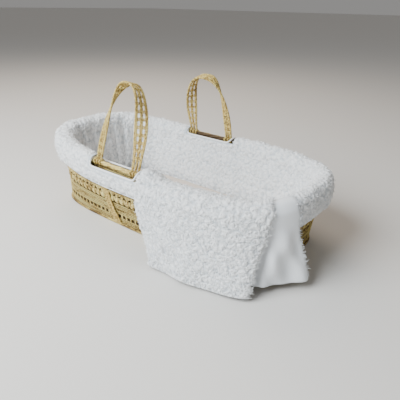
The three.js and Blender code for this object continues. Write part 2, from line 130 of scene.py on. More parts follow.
joints = {joint["name"]: joint for joint in frame["joints"]}
roll_low, roll_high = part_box("rim_roll")
mat_low, mat_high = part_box("base_mat")
rim_centre = (roll_low.x + roll_high.x) / 2
rim_half_length = (roll_high.x - roll_low.x) / 2 - ROLL_RADIUS
rim_half_width = (roll_high.y - roll_low.y) / 2 - ROLL_RADIUS
base_half_length = (mat_high.x - mat_low.x) / 2 + WALL_INSET
base_half_width = (mat_high.y - mat_low.y) / 2 + WALL_INSET
rim_mid = joints["front_handle_fold"]["pos_m"][2] - ROLL_RADIUS - ROLL_GAP
head_rise = roll_high.z - 2 * ROLL_RADIUS - rim_mid
foot_drop = rim_mid - roll_low.z

# The stations start in the middle of the rear side and run round by the head end.
angles = math.pi / 2 + np.arange(STATIONS) / STATIONS * 2 * math.pi


def outline(half_length, half_width, power, centre):
    c, s = np.cos(angles), np.sin(angles)
    reach = (np.abs(c) ** power + np.abs(s) ** power) ** (-1 / power)
    return np.stack([centre + half_length * reach * c, half_width * reach * s], axis=1)


base_line = outline(base_half_length, base_half_width, BASE_POWER, 0)
rim_line = outline(rim_half_length, rim_half_width, RIM_POWER, rim_centre)
heading = np.roll(rim_line, -1, axis=0) - np.roll(rim_line, 1, axis=0)
rim_out = np.stack([heading[:, 1], -heading[:, 0]], axis=1)
rim_out /= np.linalg.norm(rim_out, axis=1, keepdims=True)
along_rim = (rim_line[:, 0] - rim_centre) / rim_half_length
rim_height = rim_mid + np.where(along_rim < 0, head_rise, -foot_drop) * np.abs(along_rim) ** RISE_POWER

rim_steps = np.linalg.norm(np.diff(np.vstack([rim_line, rim_line[:1]]), axis=0), axis=1)
rim_marks = np.concatenate([[0], np.cumsum(rim_steps)])
rim_length = rim_marks[-1]
front_station = np.argmin(np.abs(angles - 3 * math.pi / 2))
front_run = rim_marks[front_station]


def soft_step(value, low, high):
    share = np.clip((value - low) / (high - low), 0, 1)
    return share * share * (3 - 2 * share)


# The blanket's weight draws the front of the rim down a little, between these places along it.
RIM_SAG = 0.016
SAG_START = (0.062, 0.120)
SAG_END = (0.33, 0.46)
past_front = rim_marks[:-1] - front_run
rim_height -= RIM_SAG * soft_step(past_front, *SAG_START) * (1 - soft_step(past_front, *SAG_END))


def ring_at(plan, height):
    return np.column_stack([plan, np.broadcast_to(height, len(plan))])


def wall_ring(fraction, out=0.0):
    plan = base_line * (1 - fraction) + rim_line * fraction + rim_out * out
    return ring_at(plan, fraction * rim_height)


def wall_ring_at(height, out=0.0):
    fraction = np.minimum(height / rim_height, 1)[:, None]
    plan = base_line * (1 - fraction) + rim_line * fraction + rim_out * out
    return ring_at(plan, height)


def rim_ring(out, up):
    return ring_at(rim_line + rim_out * out, rim_height + up)


# ---------------------------------------------------------------- straw, its colour and its fibre
# Dried palm and maize leaf: pale yellow with green and brown streaks along each strand, a dry
# gloss on its outside, and painted shade where the strands go under one another.
def new_group(name, sockets_in, sockets_out):
    group = bpy.data.node_groups.new(name, "ShaderNodeTree")
    for label, kind, value in sockets_in:
        socket = group.interface.new_socket(label, in_out="INPUT", socket_type=kind)
        if value is not None:
            socket.default_value = value
    for label, kind in sockets_out:
        group.interface.new_socket(label, in_out="OUTPUT", socket_type=kind)
    return group, group.nodes.new("NodeGroupInput"), group.nodes.new("NodeGroupOutput")


def add_node(tree, kind, links=None, **settings):
    node = tree.nodes.new(kind)
    for key, value in settings.items():
        setattr(node, key, value)
    for key, value in (links or {}).items():
        socket = node.inputs[key]
        if isinstance(value, bpy.types.NodeSocket):
            tree.links.new(value, socket)
        else:
            socket.default_value = value
    return node


def color_ramp(tree, factor, stops):
    ramp = add_node(tree, "ShaderNodeValToRGB", {"Fac": factor})
    for element, (position, color) in zip(ramp.color_ramp.elements, (stops[0], stops[-1])):
        element.position = position
        element.color = (*color, 1)
    for position, color in stops[1:-1]:
        ramp.color_ramp.elements.new(position).color = (*color, 1)
    return ramp.outputs["Color"]


def noise(tree, place, scale, detail, **more):
    links = {"Vector": place, "Scale": scale, "Detail": detail, **more}
    return add_node(tree, "ShaderNodeTexNoise", links).outputs["Fac"]


def weighed(tree, value, share, rest):
    """value * share + rest"""
    links = {0: value, 1: share, 2: rest}
    return add_node(tree, "ShaderNodeMath", links, operation="MULTIPLY_ADD").outputs["Value"]


def straw_fibre_group():
    group, given, result = new_group(
        "straw_fibre",
        [("Vector", "NodeSocketVector", None)],
        [("Color", "NodeSocketColor"), ("Roughness", "NodeSocketFloat"), ("Height", "NodeSocketFloat")],
    )
    place = given.outputs["Vector"]
    fine = add_node(group, "ShaderNodeMapping", {"Vector": place, "Scale": (45, 1500, 1500)})
    fibres = noise(group, fine.outputs["Vector"], 1.0, 3.0)
    broad = add_node(group, "ShaderNodeMapping", {"Vector": place, "Scale": (38, 240, 240)})
    strands = noise(group, broad.outputs["Vector"], 1.0, 1.0)
    tint = weighed(group, strands, 0.55, noise(group, place, 9.0, 2.0))
    shade = weighed(group, fibres, 0.35, tint)
    spotted = weighed(group, noise(group, place, 230.0, 1.0), 0.75, shade)
    level = add_node(group, "ShaderNodeMath", {0: spotted, 1: 0.81}, operation="SUBTRACT")
    color = color_ramp(
        group,
        level.outputs["Value"],
        [
            (0.26, (0.10, 0.055, 0.014)),
            (0.38, (0.36, 0.245, 0.070)),
            (0.50, (0.60, 0.465, 0.165)),
            (0.62, (0.76, 0.640, 0.275)),
            (0.80, (0.60, 0.590, 0.240)),
        ],
    )
    rough = add_node(
        group, "ShaderNodeMapRange", {"Value": fibres, "To Min": 0.42, "To Max": 0.72}
    )
    group.links.new(color, result.inputs["Color"])
    group.links.new(rough.outputs["Result"], result.inputs["Roughness"])
    group.links.new(fibres, result.inputs["Height"])
    return group


straw_fibre = straw_fibre_group()


def straw_material(name, gain, fibre_depth=0.0006, attribute="lay"):
    material = bpy.data.materials.new(name)
    material.use_nodes = True
    tree = material.node_tree
    shader = tree.nodes["Principled BSDF"]
    if attribute:
        place = add_node(tree, "ShaderNodeAttribute", attribute_name=attribute).outputs["Vector"]
    else:
        place = add_node(tree, "ShaderNodeTexCoord").outputs["Object"]
    fibre = add_node(tree, "ShaderNodeGroup", node_tree=straw_fibre)
    tree.links.new(place, fibre.inputs["Vector"])
    tone = add_node(tree, "ShaderNodeMix", data_type="RGBA", blend_type="MULTIPLY")
    tone.inputs["Factor"].default_value = 1.0
    tree.links.new(fibre.outputs["Color"], tone.inputs[6])
    tone.inputs[7].default_value = (*gain, 1)
    bump = add_node(tree, "ShaderNodeBump", {"Strength": 0.5, "Distance": fibre_depth})
    tree.links.new(fibre.outputs["Height"], bump.inputs["Height"])
    # painted shade: the straw's colour is darkened to near black on the inner side of each strand, where
    # it goes under the next
    painted_crevice_shade = add_node(tree, "ShaderNodeAttribute", attribute_name="painted_crevice_shade").outputs["Fac"]
    shaded = add_node(tree, "ShaderNodeMix", data_type="RGBA")
    tree.links.new(painted_crevice_shade, shaded.inputs["Factor"])
    tree.links.new(tone.outputs[2], shaded.inputs[6])
    shaded.inputs[7].default_value = (0.075, 0.042, 0.014, 1)
    tree.links.new(shaded.outputs[2], shader.inputs["Base Color"])
    tree.links.new(fibre.outputs["Roughness"], shader.inputs["Roughness"])
    tree.links.new(bump.outputs["Normal"], shader.inputs["Normal"])
    shader.inputs["Specular IOR Level"].default_value = 0.4
    return material


straw = straw_material("woven_straw", (1.0, 0.97, 0.88))
straw_plait = straw_material("plaited_straw", (0.97, 0.91, 0.76))
# painted shade: the inner stakes are straw darkened to near black, for the shade inside the wall
straw_painted_shade = straw_material("inner_stakes", (0.16, 0.115, 0.07))
straw_base = straw_material("base_straw", (0.92, 0.90, 0.86), 0.001, attribute="")


# ---------------------------------------------------------------- base mat
# The flat woven bottom, stiff enough to carry the mattress. Its solid is already the right
# shape, so it only takes the straw's finish.
base_mat = frame["nodes"]["base_mat"]
base_mat.data.materials.clear()
base_mat.data.materials.append(straw_base)


# ---------------------------------------------------------------- ropes laid round the basket
# Each row of the wall is two strands twisted round the stakes. A row is made straight, as one
# twisted rope, and then laid along its own outline.
def vertices_of(piece):
    points = np.empty(len(piece.data.vertices) * 3)
    piece.data.vertices.foreach_get("co", points)
    return points.reshape(-1, 3)


def move_vertices(piece, points):
    piece.data.vertices.foreach_set("co", np.ascontiguousarray(points, dtype=np.float64).ravel())
    piece.data.update()


def keep_lay(piece, points):
    if "strand" in piece.data.attributes:
        strand = np.empty(len(points))
        piece.data.attributes["strand"].data.foreach_get("value", strand)
        points = points + np.outer(strand, (1.7, 0.61, 0.0))
    lay = piece.data.attributes.new("lay", "FLOAT_VECTOR", "POINT")
    lay.data.foreach_set("vector", points.astype(np.float32).ravel())


def keep_value(piece, name, values):
    kept = piece.data.attributes.new(name, "FLOAT", "POINT")
    kept.data.foreach_set("value", np.ascontiguousarray(values, dtype=np.float32).ravel())


def only_select(pieces):
    bpy.ops.object.select_all(action="DESELECT")
    for piece in pieces:
        piece.select_set(True)
    bpy.context.view_layer.objects.active = pieces[0]


def edit_all(piece, *steps):
    only_select([piece])
    bpy.ops.object.mode_set(mode="EDIT")
    bpy.ops.mesh.select_all(action="SELECT")
    for step, options in steps:
        step(**options)
    bpy.ops.object.mode_set(mode="OBJECT")


WELD = (bpy.ops.mesh.remove_doubles, {"threshold": 1e-5})
OUTWARD = (bpy.ops.mesh.normals_make_consistent, {"inside": False})


def thicken(piece, thickness, offset=0):
    skin = piece.modifiers.new("skin", "SOLIDIFY")
    skin.thickness = thickness
    skin.offset = offset
    only_select([piece])
    bpy.ops.object.modifier_apply(modifier="skin")


def joined(pieces, name):
    only_select(pieces)
    bpy.ops.object.join()
    whole = bpy.context.object
    whole.name = name
    whole.data.name = name
    return whole


def twisted_rope(turns, pitch, strands, lay_radius, strand_radius, sides=5, steps=6):
    starts = []
    for k in range(strands):
        turn = 2 * math.pi * k / strands
        bpy.ops.mesh.primitive_circle_add(
            vertices=sides,
            radius=strand_radius,
            location=(0, lay_radius * math.sin(turn), lay_radius * math.cos(turn)),
            rotation=(0, math.pi / 2, 0),
        )
        starts.append(bpy.context.object)
    rope = joined(starts, "rope")
    bpy.ops.object.transform_apply(location=True, rotation=True, scale=True)
    lay = rope.modifiers.new("lay", "SCREW")
    lay.axis = "X"
    lay.screw_offset = pitch
    lay.iterations = turns
    lay.steps = steps
    lay.render_steps = steps
    bpy.ops.object.modifier_apply(modifier="lay")
    edit_all(rope, OUTWARD)
    points = vertices_of(rope)
    points[:, 0] -= points[:, 0].min()
    move_vertices(rope, points)
    return rope


# Painted shade on the strands: it starts at this depth and deepens inward over this reach.
PAINTED_SHADE_FROM = 0.0009
PAINTED_SHADE_REACH = 0.0022


def lay_along(piece, centre, outward, upward, length, closed=True, shift=0.0, fibre_up=False):
    """Carries a piece made along +X, with +Y as its outside and +Z up, onto a line."""
    straight = vertices_of(piece)
    if closed:
        ways = (centre, outward, upward)
        centre, outward, upward = (np.vstack([way, way[:1]]) for way in ways)
    steps = np.linalg.norm(np.diff(centre, axis=0), axis=1)
    marks = np.concatenate([[0], np.cumsum(steps)])
    along = (straight[:, 0] / length + shift) * marks[-1]
    lay = np.column_stack([along + 7.3 * shift, straight[:, 1] + shift, straight[:, 2] + 3 * shift])
    keep_lay(piece, lay[:, ::-1] if fibre_up else lay)
    # painted shade mask: 0 on a strand's outer side, up to 1 on its inner side
    painted_crevice_shade = np.clip((PAINTED_SHADE_FROM - straight[:, 1]) / PAINTED_SHADE_REACH, 0, 1)
    keep_value(piece, "painted_crevice_shade", painted_crevice_shade if closed else 0 * along)
    along = np.mod(along, marks[-1]) if closed else np.clip(along, 0, marks[-1])

    def at(line):
        return np.column_stack([np.interp(along, marks, line[:, k]) for k in range(3)])

    points = at(centre) + at(outward) * straight[:, 1:2] + at(upward) * straight[:, 2:3]
    move_vertices(piece, points)


def dressed(piece, material, body, nodes=()):
    piece.data.materials.clear()
    piece.data.materials.append(material)
    only_select([piece])
    bpy.ops.object.shade_smooth()
    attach(piece, body)
    if nodes:
        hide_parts(*nodes)
    return piece


def wall_frame(height, out=0.0):
    """The line of a row at a height on the middle of the wall, with its outward and upward ways."""
    fraction = height / rim_mid
    here, above = wall_ring(fraction, out), wall_ring(fraction + 0.02, out)
    upward = above - here
    upward /= upward[:, 2:3]
    return here, np.column_stack([rim_out, np.zeros(STATIONS)]), upward


rng = np.random.default_rng(7)


def woven_row(pattern, height, length, out=0.0):
    row = pattern.copy()
    row.data = pattern.data.copy()
    bpy.context.scene.collection.objects.link(row)
    centre, outward, upward = wall_frame(height, out)
    lay_along(row, centre, outward, upward, length, shift=rng.random())
    return row


def woven_rows(name, pattern, heights, length, out=0.0, nodes=()):
    rows = joined([woven_row(pattern, height, length, out) for height in heights], name)
    edit_all(rows, WELD)
    return dressed(rows, straw, "basket", nodes)


# ---------------------------------------------------------------- plain rows of the wall
# Thin twined rows, close together: three at the bottom and six over the row of slots, and
# eleven more above the leaf band, wider apart, which the liner's skirt mostly covers.
ROW_TURNS = 150
ROW_PITCH = 0.0143
ROW_LENGTH = ROW_TURNS * ROW_PITCH
LOWER_STEP = 0.0062
UPPER_STEP = 0.0071
lower_heights = [0.0125 + LOWER_STEP * k for k in range(3)] + [0.0415 + LOWER_STEP * k for k in range(6)]
upper_heights = [0.1195 + UPPER_STEP * k for k in range(11)]
row_rope = twisted_rope(ROW_TURNS, ROW_PITCH, 2, 0.00135, 0.00122)
woven_rows("lower_rows", row_rope, lower_heights, ROW_LENGTH, nodes=["lower_weave"])
woven_rows("upper_rows", row_rope, upper_heights, ROW_LENGTH, nodes=["upper_weave"])
bpy.data.objects.remove(row_rope)


# ---------------------------------------------------------------- twisted ridge
# A thick two-strand twist finishes the open band. It is twined on over the leaves' ends, and
# stands out a little from the wall.
RIDGE_TURNS = 84
RIDGE_PITCH = 0.025
RIDGE_HEIGHT = 0.1115
ridge_rope = twisted_rope(RIDGE_TURNS, RIDGE_PITCH, 2, 0.0026, 0.0031, sides=8, steps=10)
woven_rows("twisted_ridge", ridge_rope, [RIDGE_HEIGHT], RIDGE_TURNS * RIDGE_PITCH, 0.0015)
bpy.data.objects.remove(ridge_rope)


# ---------------------------------------------------------------- foot plait
# A heavier three-strand plait runs round the bottom edge. It binds the base to the wall, and
# the basket stands on it.
FOOT_TURNS = 96
FOOT_PITCH = 0.022
FOOT_HEIGHT = 0.0049
foot_rope = twisted_rope(FOOT_TURNS, FOOT_PITCH, 3, 0.0025, 0.0024, sides=8, steps=10)
woven_rows(
    "foot_plait", foot_rope, [FOOT_HEIGHT], FOOT_TURNS * FOOT_PITCH, 0.0018, nodes=["foot_braid"]
)
bpy.data.objects.remove(foot_rope)


# ---------------------------------------------------------------- leaf band and open slots
# Broad leaves cross in a lattice between two rows, and lower down flat stakes show through a
# gap between the rows, which leaves a line of slots, dark with the painted shade of the stakes
# behind. Behind all of it stand the stakes, their straw coloured near black as painted shade
# inside the wall.
def leaf_blade(width, low, high, lean, bulge, depth):
    bpy.ops.mesh.primitive_grid_add(x_subdivisions=2, y_subdivisions=6, size=1)
    blade = bpy.context.object
    across, up = (vertices_of(blade)[:, k] for k in (0, 1))
    share = up + 0.5
    points = np.column_stack([
        across * width * (1 - 0.45 * np.abs(2 * share - 1) ** 3) + lean * (share - 0.5),
        depth + bulge * np.sin(math.pi * share) + 0.0006 * np.cos(across * 2 * math.pi),
        low + (high - low) * share,
    ])
    move_vertices(blade, points)
    thicken(blade, 0.0009)
    return blade


def repeated_round(unit, name, count, spacing, height):
    row = unit.modifiers.new("row", "ARRAY")
    row.use_relative_offset = False
    row.use_constant_offset = True
    row.constant_offset_displace = (spacing, 0, 0)
    row.count = count
    only_select([unit])
    bpy.ops.object.modifier_apply(modifier="row")
    centre, outward, upward = wall_frame(height)
    lay_along(unit, centre, outward, upward, count * spacing, fibre_up=True)
    edit_all(unit, OUTWARD)
    unit.name = name
    return unit


LEAF_SPACING = 0.0215
LEAF_COUNT = 99
LEAF_LOW, LEAF_HIGH = 0.0785, 0.0985
leaf_height = LEAF_HIGH - LEAF_LOW
leaves = joined(
    [
        leaf_blade(0.0125, 0, leaf_height, 0.0035, 0.0020, 0.0010),
        leaf_blade(0.0125, 0, leaf_height, -0.0050, 0.0012, -0.0004),
    ],
    "leaves",
)
points = vertices_of(leaves)
points[len(points) // 2:, 0] += LEAF_SPACING / 2
move_vertices(leaves, points)
repeated_round(leaves, "broad_leaves", LEAF_COUNT, LEAF_SPACING, LEAF_LOW)
dressed(leaves, straw, "basket", ["leaf_band"])

POST_LOW = 0.0965
posts = leaf_blade(0.0120, 0, 0.0125, 0.0040, 0.0003, 0.0002)
repeated_round(posts, "leaf_posts", LEAF_COUNT, LEAF_SPACING, POST_LOW)
dressed(posts, straw, "basket")

SLOT_SPACING = 0.0195
SLOT_COUNT = 109
slot_stakes = leaf_blade(0.0066, 0, 0.0150, 0.0012, 0.0004, 0.0006)
repeated_round(slot_stakes, "slot_stakes", SLOT_COUNT, SLOT_SPACING, 0.0265)
dressed(slot_stakes, straw, "basket")

# The stakes behind the weave are real, and their near-black colour is painted shade.
STAKE_SPACING = 0.0072
STAKE_COUNT = 295
bpy.ops.mesh.primitive_grid_add(x_subdivisions=STAKE_COUNT * 4, y_subdivisions=8, size=1)
inner_stakes = bpy.context.object
flat = vertices_of(inner_stakes)
stake_run = (flat[:, 0] + 0.5) * STAKE_COUNT * STAKE_SPACING
ribs = np.abs(np.sin(stake_run / STAKE_SPACING * math.pi))
move_vertices(inner_stakes, np.column_stack([
    stake_run,
    -0.0042 + 0.0014 * ribs,
    (flat[:, 1] + 0.5) * (rim_mid - 0.012),
]))
centre, outward, upward = wall_frame(0.006)
upward = upward * (rim_height / rim_mid)[:, None]
lay_along(inner_stakes, centre, outward, upward, STAKE_COUNT * STAKE_SPACING)
inner_stakes.name = "inner_stakes"
thicken(inner_stakes, 0.0008)
dressed(inner_stakes, straw_painted_shade, "basket")


# ---------------------------------------------------------------- rim roll
# A bundle of long stems with a slow twist, bound along the top edge. It shows as a bare bar
# between the feet of each handle, where the liner is open.
ROLL_TURNS = 13
ROLL_PITCH = 0.16
roll_rope = twisted_rope(ROLL_TURNS, ROLL_PITCH, 4, 0.0037, 0.0034, sides=8, steps=22)
roll_line = rim_ring(0, ROLL_RADIUS)
roll_out = np.column_stack([rim_out, np.zeros(STATIONS)])
roll_up = np.tile([0.0, 0.0, 1.0], (STATIONS, 1))
lay_along(roll_rope, roll_line, roll_out, roll_up, ROLL_TURNS * ROLL_PITCH)
edit_all(roll_rope, WELD)
roll_rope.name = "rim_bundle"
dressed(roll_rope, straw_plait, "basket", ["rim_roll"])


# ---------------------------------------------------------------- plaits
# A plait is three strands that pass over and under one another. Handles and the straps sewn
# down the wall are the same flat plaits.
def tubes(lines, radius, name, resolution=1, closed=False):
    curve = bpy.data.curves.new(name, "CURVE")
    curve.dimensions = "3D"
    curve.bevel_depth = radius
    curve.bevel_resolution = resolution
    curve.use_fill_caps = not closed
    for line in lines:
        spline = curve.splines.new("POLY")
        spline.points.add(len(line) - 1)
        spline.points.foreach_set("co", np.column_stack([line, np.ones(len(line))]).ravel())
        spline.use_cyclic_u = closed
    made = bpy.data.objects.new(name, curve)
    bpy.context.scene.collection.objects.link(made)
    only_select([made])
    bpy.ops.object.convert(target="MESH")
    tube = bpy.context.object
    total = len(tube.data.vertices)
    keep_value(tube, "strand", np.arange(total) * len(lines) // total)
    return tube


def plait_lines(length, pitch, half_width, half_depth, middle=0.0, per_pitch=10):
    run = np.linspace(0, length, int(length / pitch * per_pitch) + 1)
    lines = []
    for k in range(3):
        phase = 2 * math.pi * (run / pitch + k / 3)
        lines.append(np.column_stack([
            run,
            middle + half_width * np.sin(phase),
            half_depth * np.sin(2 * phase),
        ]))
    return lines


# ---------------------------------------------------------------- strap tails
# The handle plaits run on below the rim, flat against the outside of the wall and sewn to it,
# and turn under at the base.
TAIL_LOW = 0.010
TAIL_HIGH = 0.172
TAIL_HALF_WIDTH = 0.0108


def side_of(line, side):
    """One long side of an outline, as places along it and their distance from the middle."""
    there = line[line[:, 1] * side > 0]
    there = there[np.argsort(there[:, 0])]
    return there[:, 0], np.abs(there[:, 1])


def strap_tail(node, name):
    low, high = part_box(node)
    side = -1 if low.y < 0 else 1
    tail_length = TAIL_HIGH - TAIL_LOW
    lines = []
    for middle in (-0.0072, 0.0, 0.0072):
        lines += plait_lines(tail_length, 0.0125, 0.0028, 0.0012, middle)
    run = np.linspace(0, tail_length, 40)
    edge = np.column_stack([run, 0 * run, 0 * run - 0.0004])
    edges = [edge + (0, TAIL_HALF_WIDTH * hand, 0) for hand in (-1, 1)]
    tail = joined([tubes(lines, 0.0014, "plaits"), tubes(edges, 0.0015, "edges")], name)
    straight = vertices_of(tail)
    share = np.clip(straight[:, 0] / tail_length, 0, 1)
    keep_lay(tail, straight)
    top_x = high.x - 0.011 if side > 0 else low.x + 0.011
    drift = (0.014 * (1 - share) + 0.020 * (1 - share) ** 4) * (1 if side < 0 else -1)
    x = top_x + drift + straight[:, 1] * (1 + 0.25 * (1 - share))
    height = TAIL_LOW + share * tail_length
    fraction = height / rim_mid
    base_y = np.interp(x, *side_of(base_line, side))
    rim_y = np.interp(x, *side_of(rim_line, side))
    wall_y = base_y * (1 - fraction) + rim_y * fraction
    move_vertices(tail, np.column_stack([x, side * (wall_y + 0.0052 + straight[:, 2]), height]))
    return dressed(tail, straw_plait, "basket", [node])


for end in ("front", "rear"):
    for hand in ("left", "right"):
        strap_tail(f"{end}_strap_tail_{hand}", f"{end}_strap_{hand}")


# ---------------------------------------------------------------- carrying handles
# Each handle is three plaits side by side, joined by cross stitches that leave two rows of
# holes. The band lies along the rim at its feet and turns flat to the palm at the top.
CORD_PITCH = 0.014
CORD_RADIUS = 0.0052
HANDLE_START = 0.0090
FOOT_REACH = 0.0083
HANDLE_POWER = {"front": 2.3, "rear": 2.7}
CROWN = {"front": 1.03, "rear": 1.0}


def handle_frame(end):
    """The middle line of a handle's band, with the way of its width and of its face."""
    side = -1 if end == "front" else 1
    joint = joints[f"{end}_handle_fold"]
    hinge = np.array(joint["pos_m"])
    feet = [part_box(f"{end}_handle_lashing_{hand}") for hand in ("left", "right")]
    spread = abs((feet[0][0].x + feet[0][1].x) - (feet[1][0].x + feet[1][1].x)) / 4
    low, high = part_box(f"{end}_handle_cord_middle")
    rise = high.z - CORD_RADIUS * 0.97 - hinge[2]
    inner = high.y if side < 0 else low.y
    lean_in = abs(hinge[1] - inner) - CORD_RADIUS * 0.97
    height, lean = math.hypot(rise, lean_in) * CROWN[end], math.atan2(lean_in, rise)
    power = HANDLE_POWER[end]
    share = np.linspace(0, 1, 241)
    turn = math.pi * (1 - share)
    c, s = np.cos(turn), np.sin(turn)
    reach = (np.abs(c) ** power + np.abs(s) ** power) ** (-1 / power)
    climbed = HANDLE_START + (height - HANDLE_START) * reach * s
    plane = np.column_stack([spread * reach * c, climbed])
    along = np.gradient(plane, axis=0)
    along /= np.linalg.norm(along, axis=1, keepdims=True)
    climb = np.clip((np.minimum(1, s * 1.05) - 0.05) / 0.95, 0, 1)
    slow = math.radians(14) + math.radians(76) * climb ** 2.4
    quick = math.pi / 2 * climb * climb * (3 - 2 * climb)
    twist = np.where(share < 0.5, slow, quick)
    gathered = (0.84 + 0.16 * np.minimum(1, climb * 3))[:, None]
    across = np.column_stack([along[:, 1], -along[:, 0]])
    zeros = np.zeros(len(share))
    line = np.column_stack([plane[:, 0], zeros, plane[:, 1]])
    flat_way = np.column_stack([
        across[:, 0] * np.cos(twist),
        -np.sin(twist),
        across[:, 1] * np.cos(twist),
    ])
    tangent = np.column_stack([along[:, 0], zeros, along[:, 1]])
    face_way = np.cross(tangent, flat_way)
    flat_way = flat_way * gathered
    half_turn = Matrix.Rotation(0 if side < 0 else math.pi, 3, "Z")
    rotation = np.array(half_turn @ Matrix.Rotation(-lean, 3, "X"))
    return line @ rotation.T + hinge, flat_way @ rotation.T, face_way @ rotation.T


def stitches(length, spacing, middle):
    lines = []
    for k in range(1, int(length / spacing)):
        place = k * spacing
        for tilt in (-1, 1):
            for drift in (-0.0022, 0.0022):
                lines.append(np.array([
                    [place + drift - 0.0030 * tilt, middle - 0.0052, 0.0016 * tilt],
                    [place + drift - 0.0015 * tilt, middle - 0.0030, 0.0019 * tilt],
                    [place + drift, middle, 0.0006 * tilt],
                    [place + drift + 0.0015 * tilt, middle + 0.0030, -0.0019 * tilt],
                    [place + drift + 0.0030 * tilt, middle + 0.0052, -0.0016 * tilt],
                ]))
    return lines


def handle_band(end):
    centre, flat_way, face_way = handle_frame(end)
    length = np.linalg.norm(np.diff(centre, axis=0), axis=1).sum()
    lines = []
    for k in (-1, 0, 1):
        lines += plait_lines(length, 0.0165, 0.0031, 0.0017, k * CORD_PITCH)
    cross = [line for k in (-1, 1) for line in stitches(length, 0.0200, k * CORD_PITCH / 2)]
    parts = [tubes(lines, 0.0017, "plaits"), tubes(cross, 0.0013, "links")]
    band = joined(parts, f"{end}_handle_band")
    lay_along(band, centre, flat_way, face_way, length, closed=False)
    nodes = [f"{end}_handle_cord_{label}" for label in ("outer", "middle", "inner")]
    return dressed(band, straw_plait, f"{end}_handle", nodes)


def foot_loops(end, hand):
    low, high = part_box(f"{end}_handle_lashing_{hand}")
    middle = (low + high) / 2
    around = 2 * math.pi * FOOT_REACH
    lines = []
    for k in (-1, 0, 1):
        lines += plait_lines(around, around / 4, 0.0030, 0.0010, k * CORD_PITCH * 0.84)
    loops = tubes(lines, 0.0012, f"{end}_foot_{hand}")
    straight = vertices_of(loops)
    keep_lay(loops, straight)
    turn = straight[:, 0] / FOOT_REACH + math.pi / 2
    reach = FOOT_REACH + straight[:, 2]
    move_vertices(loops, np.column_stack([
        middle.x + straight[:, 1],
        middle.y + reach * np.cos(turn),
        middle.z + reach * np.sin(turn),
    ]))
    nodes = [f"{end}_handle_lashing_{hand}"]
    return dressed(loops, straw_plait, f"{end}_handle", nodes)


for end in ("front", "rear"):
    handle_band(end)
    for hand in ("left", "right"):
        foot_loops(end, hand)


# ---------------------------------------------------------------- plush and plain cloth
# Rosette plush is a long-pile knit sheared and swirled into small roses; it is bright on its
# petals, with grey-blue painted shade in the creases between them. The bindings are smooth cotton.
def plush_material(name, tip, painted_crease_shade, sheen):
    material = bpy.data.materials.new(name)
    material.use_nodes = True
    tree = material.node_tree
    shader = tree.nodes["Principled BSDF"]
    place = add_node(tree, "ShaderNodeTexCoord").outputs["Object"]
    pile = add_node(tree, "ShaderNodeAttribute", attribute_name="pile").outputs["Fac"]
    fuzz = noise(tree, place, 300.0, 4.0, Roughness=0.7)
    fuzzy = weighed(tree, fuzz, 0.34, -0.17)
    blotches = weighed(tree, noise(tree, place, 60.0, 2.0), 0.20, -0.10)
    level = weighed(tree, pile, 1.0, fuzzy)
    level = weighed(tree, level, 1.0, blotches)
    # painted shade: the pile's height sets the colour, from grey-blue in the creases between the roses
    # to white on their tips
    color = color_ramp(tree, level, [(0.05, painted_crease_shade), (0.58, tip), (1.0, tip)])
    bump = add_node(tree, "ShaderNodeBump", {"Strength": 0.8, "Distance": 0.0028, "Height": fuzz})
    tree.links.new(color, shader.inputs["Base Color"])
    tree.links.new(bump.outputs["Normal"], shader.inputs["Normal"])
    shader.inputs["Roughness"].default_value = 0.95
    shader.inputs["Specular IOR Level"].default_value = 0.15
    shader.inputs["Sheen Weight"].default_value = sheen
    shader.inputs["Sheen Roughness"].default_value = 0.6
    return material


def cloth_weave_group():
    group, given, result = new_group(
        "cloth_weave",
        [("Vector", "NodeSocketVector", None), ("Thread", "NodeSocketFloat", 0.0006)],
        [("Height", "NodeSocketFloat"), ("Shade", "NodeSocketFloat")],
    )
    scale = add_node(group, "ShaderNodeMath", {0: 1.0, 1: given.outputs["Thread"]}, operation="DIVIDE")
    place = given.outputs["Vector"]
    group.links.new(noise(group, place, scale.outputs["Value"], 2.0), result.inputs["Height"])
    group.links.new(noise(group, place, 14.0, 3.0), result.inputs["Shade"])
    return group


cloth_weave = cloth_weave_group()


def cloth_material(name, light, dark, roughness, thread, sheen=0.0):
    material = bpy.data.materials.new(name)
    material.use_nodes = True
    tree = material.node_tree
    shader = tree.nodes["Principled BSDF"]
    place = add_node(tree, "ShaderNodeTexCoord").outputs["Object"]
    weave = add_node(tree, "ShaderNodeGroup", node_tree=cloth_weave)
    tree.links.new(place, weave.inputs["Vector"])
    weave.inputs["Thread"].default_value = thread
    color = color_ramp(tree, weave.outputs["Shade"], [(0.30, dark), (0.70, light)])
    bump = add_node(tree, "ShaderNodeBump", {"Strength": 0.25, "Distance": 0.0004})
    tree.links.new(weave.outputs["Height"], bump.inputs["Height"])
    tree.links.new(color, shader.inputs["Base Color"])
    tree.links.new(bump.outputs["Normal"], shader.inputs["Normal"])
    shader.inputs["Roughness"].default_value = roughness
    shader.inputs["Sheen Weight"].default_value = sheen
    return material


# the second colour is the grey-blue painted shade of the plush's creases
plush_outside = plush_material("rosette_plush", (0.91, 0.92, 0.925), (0.55, 0.60, 0.64), 0.3)
binding_cloth = cloth_material("binding_cotton", (0.90, 0.91, 0.92), (0.84, 0.85, 0.86), 0.6, 0.0009)
sheet_cloth = cloth_material("sheet_cotton", (0.80, 0.69, 0.60), (0.74, 0.63, 0.54), 0.75, 0.0007)
satin = cloth_material("white_satin", (0.87, 0.90, 0.93), (0.82, 0.86, 0.90), 0.36, 0.0008, 0.3)


OPEN_RUN = 4.0


